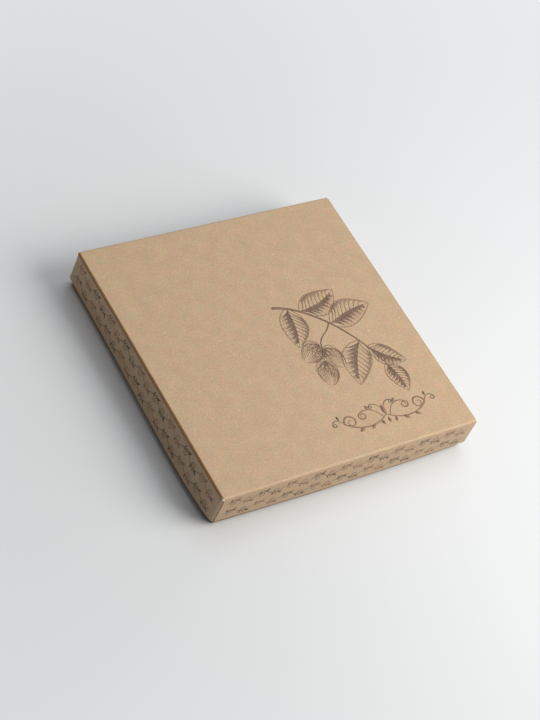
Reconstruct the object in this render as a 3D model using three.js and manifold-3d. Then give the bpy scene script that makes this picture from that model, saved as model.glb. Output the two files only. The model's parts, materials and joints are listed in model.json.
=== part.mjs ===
// A flat two-piece carton of chocolates: a lid and a base tray, each folded from one die-cut
// kraft-board blank, a divider grid of slotted card strips, and the chocolates in pleated paper cups.
// Millimetres, +Z up. The origin is the centre of the base tray's underside.
import * as THREE from "three";
import { mergeVertices } from "three/addons/utils/BufferGeometryUtils.js";
import Module from "manifold-3d";

const wasm = await Module();
wasm.setup();

// Driving dimensions of the carton
const BASE_SIDE = 200; // outside of the base tray's walls, both ways
const BASE_HEIGHT = 30; // outside height of the base tray
const LID_SKIRT = 25; // outside height of the lid's walls
const BOARD = 0.8; // thickness of the kraft board
const FOLD_INSIDE_RADIUS = 0.8; // inside radius of a scored fold
const TAB_LENGTH = 22; // a corner tab, from its fold to its free end
const TAB_RELIEF = 0.6; // a tab is cut back this far from the panel's fold and from the rim
const SEAM_SETBACK = 1.5; // a front or back wall's cut end, from the outside of the side wall
const GLUE_BITE = 0.1; // how far a glued tab is pressed into the wall in front of it
const LID_CLEARANCE = 0.9; // between the lid's corner tabs and the base tray's walls
const REST_GAP = 0.3; // between a piece and what it rests on

// Driving dimensions of the divider grid
const CELLS_PER_SIDE = 5;
const DIVIDER_CARD = 0.6; // thickness of a divider strip
const DIVIDER_HEADSPACE = 9; // a strip's top edge, below the base tray's rim
const DIVIDER_END_GAP = 0.4; // a strip's end, from the tray's wall
const SLOT_CLEARANCE = 0.3; // on each side of a strip in another strip's slot

// Driving dimensions of the paper cups
const CUP_CELL_GAP = 0.7; // the mouth's widest pleats, from the divider strips
const CUP_FLARE = 4.4; // how much wider the mouth's radius is than the floor's
const CUP_HEIGHT = 15;
const CUP_PAPER = 0.3; // thickness of the greaseproof paper
const CUP_PLEATS = 16;
const PLEAT_DEPTH = 1; // between a pleat's ridge and its valley, at the mouth

// Driving dimensions of the chocolates
const CHOCOLATE_GAP = 0.6; // round the widest chocolate, on the floor of its cup
const SQUARE_HEIGHT = 13;
const SQUARE_CORNER = 3.5;
const SQUARE_BEVEL = 1.6;
const DOME_HEIGHT = 15;
const DOME_FOOT = 1.6; // the thin skirt of chocolate round a dome
const DOME_FOOT_WIDTH = 1.2;
const TRUFFLE_HEIGHT = 17;
const TRUFFLE_SEAT_RADIUS = 7; // the flat that a truffle stands on
const ROUND_HEIGHT = 10;
const ROUND_EDGE = 2.2; // rounding of the round chocolate's top edge
const HAZELNUT_RADIUS = 6;
const HAZELNUT_HEIGHT = 6.5; // the part of the nut that stands out of the chocolate
const HEART_HEIGHT = 12;
const HEART_BEVEL = 1.8;

// Facets
const FOLD_SEGMENTS = 5;
const ROUND_SEGMENTS = 16;
const ARC_POINTS = 5;
const BEVEL_SEGMENTS = 2;
const CORNER_SEGMENTS = 3;

// Sizes that follow
const FOLD_RADIUS = FOLD_INSIDE_RADIUS + BOARD;
const LID_SIDE = BASE_SIDE + 2 * (2 * BOARD + LID_CLEARANCE);
const LID_TOP = BASE_HEIGHT + REST_GAP + BOARD;
const INSIDE = BASE_SIDE - 2 * BOARD;
const CONTENTS_BOTTOM = BOARD + REST_GAP;
const CELL_PITCH = INSIDE / CELLS_PER_SIDE;
const DIVIDER_HEIGHT = BASE_HEIGHT - DIVIDER_HEADSPACE - CONTENTS_BOTTOM;
const DIVIDER_LENGTH = INSIDE - 2 * DIVIDER_END_GAP;
const CUP_MOUTH_RADIUS = (CELL_PITCH - DIVIDER_CARD) / 2 - CUP_CELL_GAP - PLEAT_DEPTH / 2;
const CUP_FLOOR_RADIUS = CUP_MOUTH_RADIUS - CUP_FLARE;
const CHOCOLATE_BOTTOM = CONTENTS_BOTTOM + CUP_PAPER + REST_GAP;
const CHOCOLATE_RADIUS = CUP_FLOOR_RADIUS - CUP_PAPER - CHOCOLATE_GAP;

const QUARTER = Math.PI / 2;

// Finishes: each piece gets a material of its own from one of these
const KRAFT = { color: 0xbea78d, roughness: 0.85, metalness: 0 };
const CUP_WHITE = { color: 0xece5d6, roughness: 0.5, metalness: 0 };
const GREY_CARD = { color: 0xb59a7b, roughness: 0.9, metalness: 0 };
const DARK_CHOCOLATE = { color: 0x3a2118, roughness: 0.3, metalness: 0 };
const MILK_CHOCOLATE = { color: 0x6f4228, roughness: 0.3, metalness: 0 };
const COCOA_POWDER = { color: 0x553423, roughness: 0.95, metalness: 0 };
const NUT_CHOCOLATE = { color: 0x7a4a2c, roughness: 0.35, metalness: 0 };
const WHITE_CHOCOLATE = { color: 0xead9b6, roughness: 0.35, metalness: 0 };

const carton = new THREE.Group();

function addPiece(name, geometry, finish) {
  const piece = new THREE.Mesh(geometry, new THREE.MeshStandardMaterial(finish));
  piece.name = name;
  carton.add(piece);
  return piece;
}

// Solids from closed geometries, joined, and turned back into a geometry
function toSolid(geometry) {
  const bare = geometry.clone();
  bare.deleteAttribute("normal");
  bare.deleteAttribute("uv");
  const merged = mergeVertices(bare, 1e-4);
  const vertProperties = new Float32Array(merged.attributes.position.array);
  const triVerts = new Uint32Array(merged.index.array);
  return new wasm.Manifold(new wasm.Mesh({ numProp: 3, vertProperties, triVerts }));
}

function joined(geometries) {
  const solid = geometries.map(toSolid).reduce((sum, next) => sum.add(next));
  const mesh = solid.getMesh();
  const geometry = new THREE.BufferGeometry();
  geometry.setAttribute("position", new THREE.BufferAttribute(mesh.vertProperties, 3));
  geometry.setIndex(new THREE.BufferAttribute(mesh.triVerts, 1));
  return geometry;
}

function extruded(shape, depth, curveSegments) {
  return new THREE.ExtrudeGeometry(shape, { depth, curveSegments, bevelEnabled: false });
}

// Two walls and the panel between them, seen end on: a channel with a round fold at each foot
function channelShape(side, height) {
  const half = side / 2;
  const shape = new THREE.Shape();
  shape.moveTo(-half, height);
  shape.lineTo(-half, FOLD_RADIUS);
  shape.absarc(-half + FOLD_RADIUS, FOLD_RADIUS, FOLD_RADIUS, 2 * QUARTER, 3 * QUARTER, false);
  shape.absarc(half - FOLD_RADIUS, FOLD_RADIUS, FOLD_RADIUS, 3 * QUARTER, 4 * QUARTER, false);
  shape.lineTo(half, height);
  shape.lineTo(half - BOARD, height);
  shape.absarc(half - FOLD_RADIUS, FOLD_RADIUS, FOLD_INSIDE_RADIUS, 0, -QUARTER, true);
  shape.absarc(-half + FOLD_RADIUS, FOLD_RADIUS, FOLD_INSIDE_RADIUS, -QUARTER, -2 * QUARTER, true);
  shape.lineTo(-half + BOARD, height);
  shape.closePath();
  return shape;
}

// The channel stood up, with its walls facing +X and -X and its length along Y
function channel(side, height, length) {
  const geometry = extruded(channelShape(side, height), length, FOLD_SEGMENTS);
  geometry.rotateX(QUARTER);
  geometry.translate(0, length / 2, 0);
  return geometry;
}

// The end of a side wall, seen from above: it turns the corner and runs on as a tab
function cornerTabShape(side) {
  const half = side / 2;
  const tabFace = -half + BOARD - GLUE_BITE;
  const centre = { x: -half + FOLD_RADIUS, y: tabFace + FOLD_RADIUS };
  const tabEnd = centre.x + TAB_LENGTH;
  const shape = new THREE.Shape();
  shape.moveTo(-half, centre.y + GLUE_BITE);
  shape.absarc(centre.x, centre.y, FOLD_RADIUS, 2 * QUARTER, 3 * QUARTER, false);
  shape.lineTo(tabEnd, tabFace);
  shape.lineTo(tabEnd, tabFace + BOARD);
  shape.absarc(centre.x, centre.y, FOLD_INSIDE_RADIUS, 3 * QUARTER, 2 * QUARTER, true);
  shape.lineTo(-half + BOARD, centre.y + GLUE_BITE);
  shape.closePath();
  return shape;
}

// One folded and glued blank: a square panel at the bottom, a wall up each edge, and the side
// walls' tabs glued behind the front and back walls
function foldedTray(side, height) {
  const sideWallLength = side - 2 * (BOARD - GLUE_BITE + FOLD_RADIUS);
  const frontWallLength = side - 2 * SEAM_SETBACK;
  const sideWalls = channel(side, height, sideWallLength);
  const frontAndBack = channel(side, height, frontWallLength).rotateZ(QUARTER);
  const tabBottom = FOLD_RADIUS + TAB_RELIEF;
  const tabHeight = height - TAB_RELIEF - tabBottom;
  const tab = extruded(cornerTabShape(side), tabHeight, FOLD_SEGMENTS).translate(0, 0, tabBottom);
  const oppositeTab = tab.clone().rotateZ(2 * QUARTER);
  const mirroredTab = mirroredAcrossY(tab);
  const mirroredOpposite = mirroredTab.clone().rotateZ(2 * QUARTER);
  return joined([sideWalls, frontAndBack, tab, oppositeTab, mirroredTab, mirroredOpposite]);
}

// A mirror turns every face inside out, so each triangle's order is turned back
function mirroredAcrossY(geometry) {
  const mirrored = geometry.clone().scale(1, -1, 1);
  const position = mirrored.attributes.position;
  const corner = new THREE.Vector3();
  const next = new THREE.Vector3();
  for (let i = 0; i < position.count; i += 3) {
    corner.fromBufferAttribute(position, i + 1);
    next.fromBufferAttribute(position, i + 2);
    position.setXYZ(i + 1, next.x, next.y, next.z);
    position.setXYZ(i + 2, corner.x, corner.y, corner.z);
  }
  return mirrored;
}

function addCarton() {
  addPiece("base_tray", foldedTray(BASE_SIDE, BASE_HEIGHT), KRAFT);
  const lid = addPiece("lid", foldedTray(LID_SIDE, LID_SKIRT), KRAFT);
  lid.rotation.x = Math.PI;
  lid.position.z = LID_TOP;
}

// The line between two cells, counted from 1
function cellEdge(index) {
  return -INSIDE / 2 + index * CELL_PITCH;
}

// A strip with a slot half its height at each crossing, open at the top or at the bottom
function dividerShape(slotsAtTop) {
  const slotWidth = DIVIDER_CARD + 2 * SLOT_CLEARANCE;
  const slotDepth = (DIVIDER_HEIGHT + SLOT_CLEARANCE) / 2;
  const openEdge = slotsAtTop ? DIVIDER_HEIGHT : 0;
  const plainEdge = DIVIDER_HEIGHT - openEdge;
  const slotEnd = slotsAtTop ? DIVIDER_HEIGHT - slotDepth : slotDepth;
  const shape = new THREE.Shape();
  shape.moveTo(-DIVIDER_LENGTH / 2, plainEdge);
  shape.lineTo(-DIVIDER_LENGTH / 2, openEdge);
  for (let i = 1; i < CELLS_PER_SIDE; i++) {
    shape.lineTo(cellEdge(i) - slotWidth / 2, openEdge);
    shape.lineTo(cellEdge(i) - slotWidth / 2, slotEnd);
    shape.lineTo(cellEdge(i) + slotWidth / 2, slotEnd);
    shape.lineTo(cellEdge(i) + slotWidth / 2, openEdge);
  }
  shape.lineTo(DIVIDER_LENGTH / 2, openEdge);
  shape.lineTo(DIVIDER_LENGTH / 2, plainEdge);
  shape.closePath();
  return shape;
}

// A strip standing along X, centred on its thickness
function dividerStrip(slotsAtTop) {
  const strip = extruded(dividerShape(slotsAtTop), DIVIDER_CARD, 1);
  return strip.rotateX(QUARTER).translate(0, DIVIDER_CARD / 2, CONTENTS_BOTTOM);
}

function addDividers() {
  for (let i = 1; i < CELLS_PER_SIDE; i++) {
    const row = addPiece(`row_divider_${i}`, dividerStrip(true), GREY_CARD);
    row.position.y = cellEdge(i);
    const cross = addPiece(`cross_divider_${i}`, dividerStrip(false).rotateZ(QUARTER), GREY_CARD);
    cross.position.x = cellEdge(i);
  }
}

// Points of an elliptical arc in a lathe's profile, from one angle to another
function arc(radius, height, centreHeight, from, to, centreRadius = 0) {
  const points = [];
  for (let i = 0; i <= ARC_POINTS; i++) {
    const angle = from + ((to - from) * i) / ARC_POINTS;
    const x = centreRadius + radius * Math.cos(angle);
    points.push(new THREE.Vector2(Math.max(0, x), centreHeight + height * Math.sin(angle)));
  }
  return points;
}

// A round piece from its half outline, which starts and ends on the axis
function turned(outline, segments = ROUND_SEGMENTS) {
  return new THREE.LatheGeometry(outline, segments).rotateX(QUARTER);
}

// Ridges and valleys in turn round a wall, which deepen from the floor to the mouth
function pleated(geometry) {
  const position = geometry.attributes.position;
  const point = new THREE.Vector3();
  for (let i = 0; i < position.count; i++) {
    point.fromBufferAttribute(position, i);
    const radius = Math.hypot(point.x, point.y);
    if (radius === 0) continue;
    const ridge = Math.cos(CUP_PLEATS * Math.atan2(point.x, -point.y));
    const reach = 1 + (ridge * (PLEAT_DEPTH / 2) * point.z) / (CUP_HEIGHT * radius);
    position.setXYZ(i, point.x * reach, point.y * reach, point.z);
  }
  return geometry;
}

function paperCup() {
  const outline = [
    new THREE.Vector2(0, 0),
    new THREE.Vector2(CUP_FLOOR_RADIUS, 0),
    new THREE.Vector2(CUP_MOUTH_RADIUS, CUP_HEIGHT),
    new THREE.Vector2(CUP_MOUTH_RADIUS - CUP_PAPER, CUP_HEIGHT),
    new THREE.Vector2(CUP_FLOOR_RADIUS - CUP_PAPER, CUP_PAPER),
    new THREE.Vector2(0, CUP_PAPER),
  ];
  return pleated(turned(outline, 2 * CUP_PLEATS));
}

function bevelled(shape, height, bevel) {
  const geometry = new THREE.ExtrudeGeometry(shape, {
    depth: height - 2 * bevel,
    curveSegments: CORNER_SEGMENTS,
    bevelThickness: bevel,
    bevelSize: bevel,
    bevelOffset: -bevel,
    bevelSegments: BEVEL_SEGMENTS,
  });
  return geometry.translate(0, 0, bevel);
}

function darkSquare() {
  const straight = (CHOCOLATE_RADIUS - SQUARE_CORNER) / Math.SQRT2;
  const half = straight + SQUARE_CORNER;
  const shape = new THREE.Shape();
  shape.moveTo(-straight, -half);
  shape.absarc(straight, -straight, SQUARE_CORNER, -QUARTER, 0, false);
  shape.absarc(straight, straight, SQUARE_CORNER, 0, QUARTER, false);
  shape.absarc(-straight, straight, SQUARE_CORNER, QUARTER, 2 * QUARTER, false);
  shape.absarc(-straight, -straight, SQUARE_CORNER, 2 * QUARTER, 3 * QUARTER, false);
  return bevelled(shape, SQUARE_HEIGHT, SQUARE_BEVEL);
}

function milkDome() {
  const radius = CHOCOLATE_RADIUS - DOME_FOOT_WIDTH;
  return turned([
    new THREE.Vector2(0, 0),
    new THREE.Vector2(CHOCOLATE_RADIUS, 0),
    new THREE.Vector2(CHOCOLATE_RADIUS, DOME_FOOT),
    ...arc(radius, DOME_HEIGHT - DOME_FOOT, DOME_FOOT, 0, QUARTER),
  ]);
}

function cocoaTruffle() {
  const lowest = -Math.acos(TRUFFLE_SEAT_RADIUS / CHOCOLATE_RADIUS);
  const halfHeight = TRUFFLE_HEIGHT / (1 - Math.sin(lowest));
  const centreHeight = TRUFFLE_HEIGHT - halfHeight;
  const side = arc(CHOCOLATE_RADIUS, halfHeight, centreHeight, lowest, QUARTER);
  return turned([new THREE.Vector2(0, 0), ...side]);
}

function hazelnutRound() {
  const shoulder = ROUND_HEIGHT - ROUND_EDGE;
  return turned([
    new THREE.Vector2(0, 0),
    new THREE.Vector2(CHOCOLATE_RADIUS, 0),
    ...arc(ROUND_EDGE, ROUND_EDGE, shoulder, 0, QUARTER, CHOCOLATE_RADIUS - ROUND_EDGE),
    ...arc(HAZELNUT_RADIUS, HAZELNUT_HEIGHT, ROUND_HEIGHT, 0, QUARTER),
  ]);
}

// A heart of two round lobes and two bulging flanks that meet in a point. The lobes' far sides
// reach the round that every chocolate keeps to.
function whiteHeart() {
  const lobe = CHOCOLATE_RADIUS / (1 + Math.SQRT2);
  const half = 2 * lobe;
  const shape = new THREE.Shape();
  shape.moveTo(0, lobe);
  shape.absarc(lobe, lobe, lobe, 2 * QUARTER, 0, true);
  shape.quadraticCurveTo(half, -lobe, 0, -half);
  shape.quadraticCurveTo(-half, -lobe, -half, lobe);
  shape.absarc(-lobe, lobe, lobe, 2 * QUARTER, 0, true);
  return bevelled(shape, HEART_HEIGHT, HEART_BEVEL);
}

const ASSORTMENT = [
  { name: "dark_square", make: darkSquare, finish: DARK_CHOCOLATE },
  { name: "milk_dome", make: milkDome, finish: MILK_CHOCOLATE },
  { name: "cocoa_truffle", make: cocoaTruffle, finish: COCOA_POWDER },
  { name: "hazelnut_round", make: hazelnutRound, finish: NUT_CHOCOLATE },
  { name: "white_heart", make: whiteHeart, finish: WHITE_CHOCOLATE },
];

// Each kind comes once in every row and once in every column
const KNIGHTS_MOVE = 2;

function addCupsAndChocolates() {
  for (let row = 0; row < CELLS_PER_SIDE; row++) {
    for (let column = 0; column < CELLS_PER_SIDE; column++) {
      const kind = ASSORTMENT[(column + KNIGHTS_MOVE * row) % ASSORTMENT.length];
      const cell = `${row + 1}${column + 1}`;
      const x = cellEdge(column) + CELL_PITCH / 2;
      const y = cellEdge(row) + CELL_PITCH / 2;
      addPiece(`paper_cup_${cell}`, paperCup(), CUP_WHITE).position.set(x, y, CONTENTS_BOTTOM);
      addPiece(`${kind.name}_${cell}`, kind.make(), kind.finish).position.set(x, y, CHOCOLATE_BOTTOM);
    }
  }
}

addCarton();
addDividers();
addCupsAndChocolates();

export default carton;
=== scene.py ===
# %% [markdown]
# # A kraft-board box of chocolates
# The carton is two folded blanks of brown kraft board: a tray, and a lid that slides down over it. Inside,
# eight slotted card strips make twenty-five cells, and each cell holds a pleated paper cup with one
# chocolate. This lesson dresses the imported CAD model. Every length is in metres, in the CAD model's own
# frame: x runs to the right, y to the back, and z up from the table.

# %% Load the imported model
import cmath
import collections
import json
import math
import random

import bmesh
import bpy
from mathutils import Matrix, Vector, noise

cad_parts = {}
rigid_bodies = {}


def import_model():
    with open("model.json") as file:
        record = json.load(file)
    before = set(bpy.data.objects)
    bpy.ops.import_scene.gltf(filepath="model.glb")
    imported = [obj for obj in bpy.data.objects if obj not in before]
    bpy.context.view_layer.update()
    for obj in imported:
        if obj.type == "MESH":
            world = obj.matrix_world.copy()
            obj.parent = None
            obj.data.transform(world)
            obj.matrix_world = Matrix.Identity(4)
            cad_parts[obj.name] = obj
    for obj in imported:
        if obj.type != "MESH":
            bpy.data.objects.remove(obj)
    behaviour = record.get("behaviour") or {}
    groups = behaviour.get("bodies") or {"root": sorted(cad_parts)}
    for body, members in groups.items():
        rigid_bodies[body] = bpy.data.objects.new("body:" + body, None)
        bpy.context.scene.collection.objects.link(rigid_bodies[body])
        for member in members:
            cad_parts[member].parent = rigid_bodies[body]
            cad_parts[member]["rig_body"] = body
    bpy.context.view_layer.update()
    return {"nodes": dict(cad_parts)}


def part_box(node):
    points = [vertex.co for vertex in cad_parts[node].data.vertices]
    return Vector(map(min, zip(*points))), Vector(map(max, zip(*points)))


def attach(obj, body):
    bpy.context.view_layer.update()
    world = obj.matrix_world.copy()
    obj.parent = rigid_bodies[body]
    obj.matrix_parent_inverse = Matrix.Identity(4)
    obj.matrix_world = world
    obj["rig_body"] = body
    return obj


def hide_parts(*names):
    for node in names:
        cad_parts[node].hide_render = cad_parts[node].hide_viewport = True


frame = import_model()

# %% [markdown]
# ## Sizes
# The CAD nodes are the ruler. What can be measured from a node's box is measured, and only the board, the
# folds and the like, which a box can't tell, are written down as numbers.

# %% Sizes taken from the CAD nodes
MM = 0.001
BOARD = 0.8 * MM
FOLD_RADIUS = 1.6 * MM
TRAY_FOLD_RADIUS = 1.0 * MM
WELD = 0.001 * MM

lid_low, lid_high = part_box("lid")
tray_low, tray_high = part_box("base_tray")
LID_SIDE = lid_high.x - lid_low.x
LID_DEPTH = lid_high.z - lid_low.z
TRAY_SIDE = tray_high.x - tray_low.x
TRAY_DEPTH = tray_high.z - tray_low.z
print("lid", round(LID_SIDE / MM, 2), "x", round(LID_DEPTH / MM, 2), "mm")
print("tray", round(TRAY_SIDE / MM, 2), "x", round(TRAY_DEPTH / MM, 2), "mm")

# %% [markdown]
# ## The camera
# The viewing angle was solved from the corners of the lid: the camera looks down on the front-left corner
# from about 48 degrees up, rolled so that the box leans across the frame. A long lens keeps the edges
# nearly parallel. Writing the angle, the roll and the distance, and not a matrix, keeps the view easy to
# read and to change.

# %% Camera
VIEW_AZIMUTH = math.radians(-51.194)
VIEW_ELEVATION = math.radians(47.640)
VIEW_ROLL = math.radians(27.415)
VIEW_DISTANCE = 1.24313
AIM = Vector((-16.49 * MM, -15.22 * MM, lid_high.z))
FOCAL_PIXELS = 1891.29
FRAME_PIXELS = 720
SENSOR = 36.0
NEAR_CLIP = 0.01


def looking_back(out, distance, centre=Vector(), roll=0.0):
    """The placing of a thing that looks back at a centre from a distance, rolled about its own axis."""
    turn = out.to_track_quat("Z", "Y").to_matrix().to_4x4() @ Matrix.Rotation(roll, 4, "Z")
    return Matrix.Translation(centre + out * distance) @ turn


towards_camera = Vector((
    math.sin(VIEW_AZIMUTH) * math.cos(VIEW_ELEVATION),
    -math.cos(VIEW_AZIMUTH) * math.cos(VIEW_ELEVATION),
    math.sin(VIEW_ELEVATION),
))
camera = bpy.data.objects.new("camera", bpy.data.cameras.new("camera"))
bpy.context.scene.collection.objects.link(camera)
camera.data.sensor_width = SENSOR
camera.data.lens = FOCAL_PIXELS / FRAME_PIXELS * SENSOR
camera.data.clip_start = NEAR_CLIP
camera.matrix_world = looking_back(towards_camera, VIEW_DISTANCE, AIM, VIEW_ROLL)
bpy.context.scene.camera = camera
bpy.context.scene.view_settings.view_transform = "Standard"
print("camera at", [round(value, 4) for value in camera.matrix_world.translation], "lens", camera.data.lens)

# %% [markdown]
# ## Wiring node trees
# Materials and Geometry Nodes are both trees of nodes. One small helper adds a node, sets its values and
# joins its sockets, so that a tree reads from top to bottom like a recipe. A second one starts a material
# and, at the end, wires its shader: colour, roughness, gloss and relief.

# %% Helpers for node trees
SHADE = {"Colour": "Color", "Height": "Float", "Roughness": "Float"}


class Tree:
    """Adds nodes to one node tree: a value that is a socket is linked, and any other value is set."""

    def __init__(self, data):
        self.data = data

    def join(self, value, socket):
        if isinstance(value, bpy.types.NodeSocket):
            self.data.links.new(value, socket)
        else:
            socket.default_value = value

    def add(self, kind, values=None, **settings):
        """Add a node, and give its outputs."""
        node = self.data.nodes.new(kind)
        for name, value in settings.items():
            setattr(node, name, value)
        for key, value in (values or {}).items():
            self.join(value, node.inputs[key])
        return node.outputs

    def out(self, kind, values=None, **settings):
        """Add a node, and give its first output."""
        return self.add(kind, values, **settings)[0]

    def math(self, operation, first, second=0.0, clamp=False):
        return self.out("ShaderNodeMath", {0: first, 1: second}, operation=operation, use_clamp=clamp)

    def times(self, first, *others):
        for other in others:
            first = self.math("MULTIPLY", first, other)
        return first

    def plus(self, first, second):
        return self.math("ADD", first, second)

    def minus(self, first, second):
        return self.math("SUBTRACT", first, second)

    def vector(self, operation, *values):
        return self.out("ShaderNodeVectorMath", dict(enumerate(values)), operation=operation)

    def scaled(self, value, factor):
        return self.out("ShaderNodeVectorMath", {0: value, 3: factor}, operation="SCALE")

    def xyz(self, x=0.0, y=0.0, z=0.0):
        return self.out("ShaderNodeCombineXYZ", {0: x, 1: y, 2: z})

    def ramp(self, value, start, end, low=0.0, high=1.0):
        values = {"Value": value, "From Min": start, "From Max": end, "To Min": low, "To Max": high}
        return self.out("ShaderNodeMapRange", values)

    def blend(self, factor, first, second, mode="MIX"):
        values = {0: factor, 6: first, 7: second}
        return self.add("ShaderNodeMix", values, data_type="RGBA", blend_type=mode)[2]

    def noise(self, place, scale, detail, **more):
        return self.out("ShaderNodeTexNoise", {"Vector": place, "Scale": scale, "Detail": detail, **more})

    def spots(self, place, scale, size, chosen, channel=0):
        """Soft spots, one to a cell of a random scatter, kept only in the cells that are chosen."""
        cells = self.add("ShaderNodeTexVoronoi", {"Vector": place, "Scale": scale})
        draw = self.add("ShaderNodeSeparateColor", {0: cells["Color"]})[channel]
        return self.times(self.ramp(cells["Distance"], *size, 1.0, 0.0), self.ramp(draw, *chosen))

    def dressed(self, shape, material):
        """Real geometry in one material, as a Geometry Nodes tree ends."""
        real = self.out("GeometryNodeRealizeInstances", {"Geometry": shape})
        return self.out("GeometryNodeSetMaterial", {"Geometry": real, "Material": material})

    def close(self, end, *values):
        """Join the last values to the group's outputs, in order."""
        for value, socket in zip(values, end):
            self.join(value, socket)
        return self.data


class Finish(Tree):
    """The tree of one new material, about its Principled shader."""

    def __init__(self, name):
        self.material = bpy.data.materials.new(name)
        self.material.use_nodes = True
        super().__init__(self.material.node_tree)
        self.shader = self.data.nodes["Principled BSDF"]

    def place(self):
        return self.add("ShaderNodeTexCoord")["Object"]

    def carried(self, name):
        """A value that the points of the mesh carry."""
        return self.add("ShaderNodeAttribute", attribute_name=name)["Fac"]

    def shared(self, group, values):
        """The outputs of a shared shader group."""
        return self.add("ShaderNodeGroup", values, node_tree=group)

    def done(self, colour, roughness, gloss, relief=None):
        """Wire the shader; relief is a height, with its bump's strength and distance."""
        self.join(colour, self.shader.inputs["Base Color"])
        self.join(roughness, self.shader.inputs["Roughness"])
        self.join(gloss, self.shader.inputs["Specular IOR Level"])
        if relief:
            bump = dict(zip(("Height", "Strength", "Distance"), relief))
            self.join(self.out("ShaderNodeBump", bump), self.shader.inputs["Normal"])
        return self.material


def new_group(name, kind, inputs, outputs):
    """A node group with named sockets: its tree, the values it starts from and the sockets it ends in."""
    data = bpy.data.node_groups.new(name, kind)
    for in_out, sockets in (("INPUT", inputs), ("OUTPUT", outputs)):
        for socket, socket_type in sockets.items():
            data.interface.new_socket(socket, in_out=in_out, socket_type="NodeSocket" + socket_type)
    tree = Tree(data)
    return tree, tree.add("NodeGroupInput"), data.nodes.new("NodeGroupOutput").inputs


print("node helpers ready, shader groups give", list(SHADE))

# %% [markdown]
# ## Meshes and pieces
# Every piece ends the same way: a shape becomes a mesh, modifiers are turned into plain geometry, and the
# piece is told which body it rides on, while the CAD node it stands for is hidden.

# %% Helpers for meshes and pieces
def to_mesh(shape, name, materials):
    """A finished bmesh as a mesh with its materials."""
    mesh = bpy.data.meshes.new(name)
    shape.to_mesh(mesh)
    shape.free()
    for material in materials:
        mesh.materials.append(material)
    return mesh


def evaluated(carrier):
    """The mesh that an object's modifier makes; the object and its own data then go."""
    bpy.context.scene.collection.objects.link(carrier)
    mesh = bpy.data.meshes.new_from_object(carrier.evaluated_get(bpy.context.evaluated_depsgraph_get()))
    data = carrier.data
    bpy.data.objects.remove(carrier)
    store = bpy.data.curves if isinstance(data, bpy.types.Curve) else bpy.data.meshes
    store.remove(data)
    return mesh


def thickened(mesh, thickness, **settings):
    """A sheet made solid by Solidify."""
    sheet = bpy.data.objects.new("sheet", mesh)
    solidify = sheet.modifiers.new("thickness", "SOLIDIFY")
    solidify.thickness = thickness
    for name, value in settings.items():
        setattr(solidify, name, value)
    return evaluated(sheet)


def run_tree(tree, values, carrier=None):
    """The mesh that a Geometry Nodes tree makes, with the tree's inputs set by identifier."""
    carrier = carrier or bpy.data.objects.new(tree.name, bpy.data.meshes.new(tree.name))
    nodes = carrier.modifiers.new(tree.name, "NODES")
    nodes.node_group = tree
    for item in tree.interface.items_tree:
        if item.in_out == "INPUT" and item.name in values:
            nodes[item.identifier] = values[item.name]
    return evaluated(carrier)


def drawn_lines(lines):
    """A curve object of straight-sided lines, each a list of (point, radius)."""
    curve = bpy.data.curves.new("lines", "CURVE")
    curve.dimensions = "3D"
    for line in lines:
        spline = curve.splines.new("POLY")
        spline.points.add(len(line) - 1)
        for knot, (point, radius) in zip(spline.points, line):
            knot.co = (*point, 1)
            knot.radius = radius
    return bpy.data.objects.new("lines", curve)


def warped(mesh, warp):
    for vert in mesh.vertices:
        vert.co = warp(vert.co)
    return mesh


def make_piece(name, mesh, replaced=None):
    """A mesh as a piece that stands for a CAD node and rides on its body, or else just rides on the lid."""
    piece = bpy.data.objects.new(name, mesh)
    bpy.context.scene.collection.objects.link(piece)
    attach(piece, frame["nodes"][replaced]["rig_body"] if replaced else "lid")
    if replaced:
        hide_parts(replaced)
    return piece


def kind_nodes(kind):
    return sorted(name for name in frame["nodes"] if name.startswith(kind))


print("cups to make", len(kind_nodes("paper_cup")))

# %% [markdown]
# ## Floor and light
# The studio is a pale paper floor and four lamps. A large soft key lamp stands high at the front right and
# leaves the left wall to the light that the floor gives back, which is what makes the folded edges read. A
# cool lamp behind on the right lays a thin sheen over the lid, one overhead fills the top, and a small warm
# one, low at the back left, keeps the far walls from going dead. Away from the box the floor fades into the
# backdrop, only for the camera and for reflections, so no horizon shows.

# %% Floor and light
FLOOR_SIZE = 4.0
FLOOR_FADE = (0.16, 0.55)
FLOOR_PAPER = ((0.630, 0.640, 0.655, 1), (0.650, 0.660, 0.675, 1))
BACKDROP = (0.82, 0.84, 0.865, 1)
SKY = (0.94, 0.97, 1, 1)
FILL_STRENGTH = 0.08
# Each lamp's direction, distance, size, power in watts, and colour
LAMPS = {
    "key_lamp": ((0.56, -0.52, 0.65), 1.02, 0.9, 12.8, (1.0, 0.972, 0.915)),
    "back_lamp": ((0.525, 0.42, 0.74), 1.6, 1.6, 6.5, (0.860, 0.945, 1.0)),
    "overhead_lamp": ((0.06, 0.14, 0.98), 1.6, 1.6, 8.6, (0.940, 0.975, 1.0)),
    "low_lamp": ((-0.52, 0.78, 0.34), 0.6, 0.5, 0.36, (1.0, 0.850, 0.740)),
}


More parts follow.
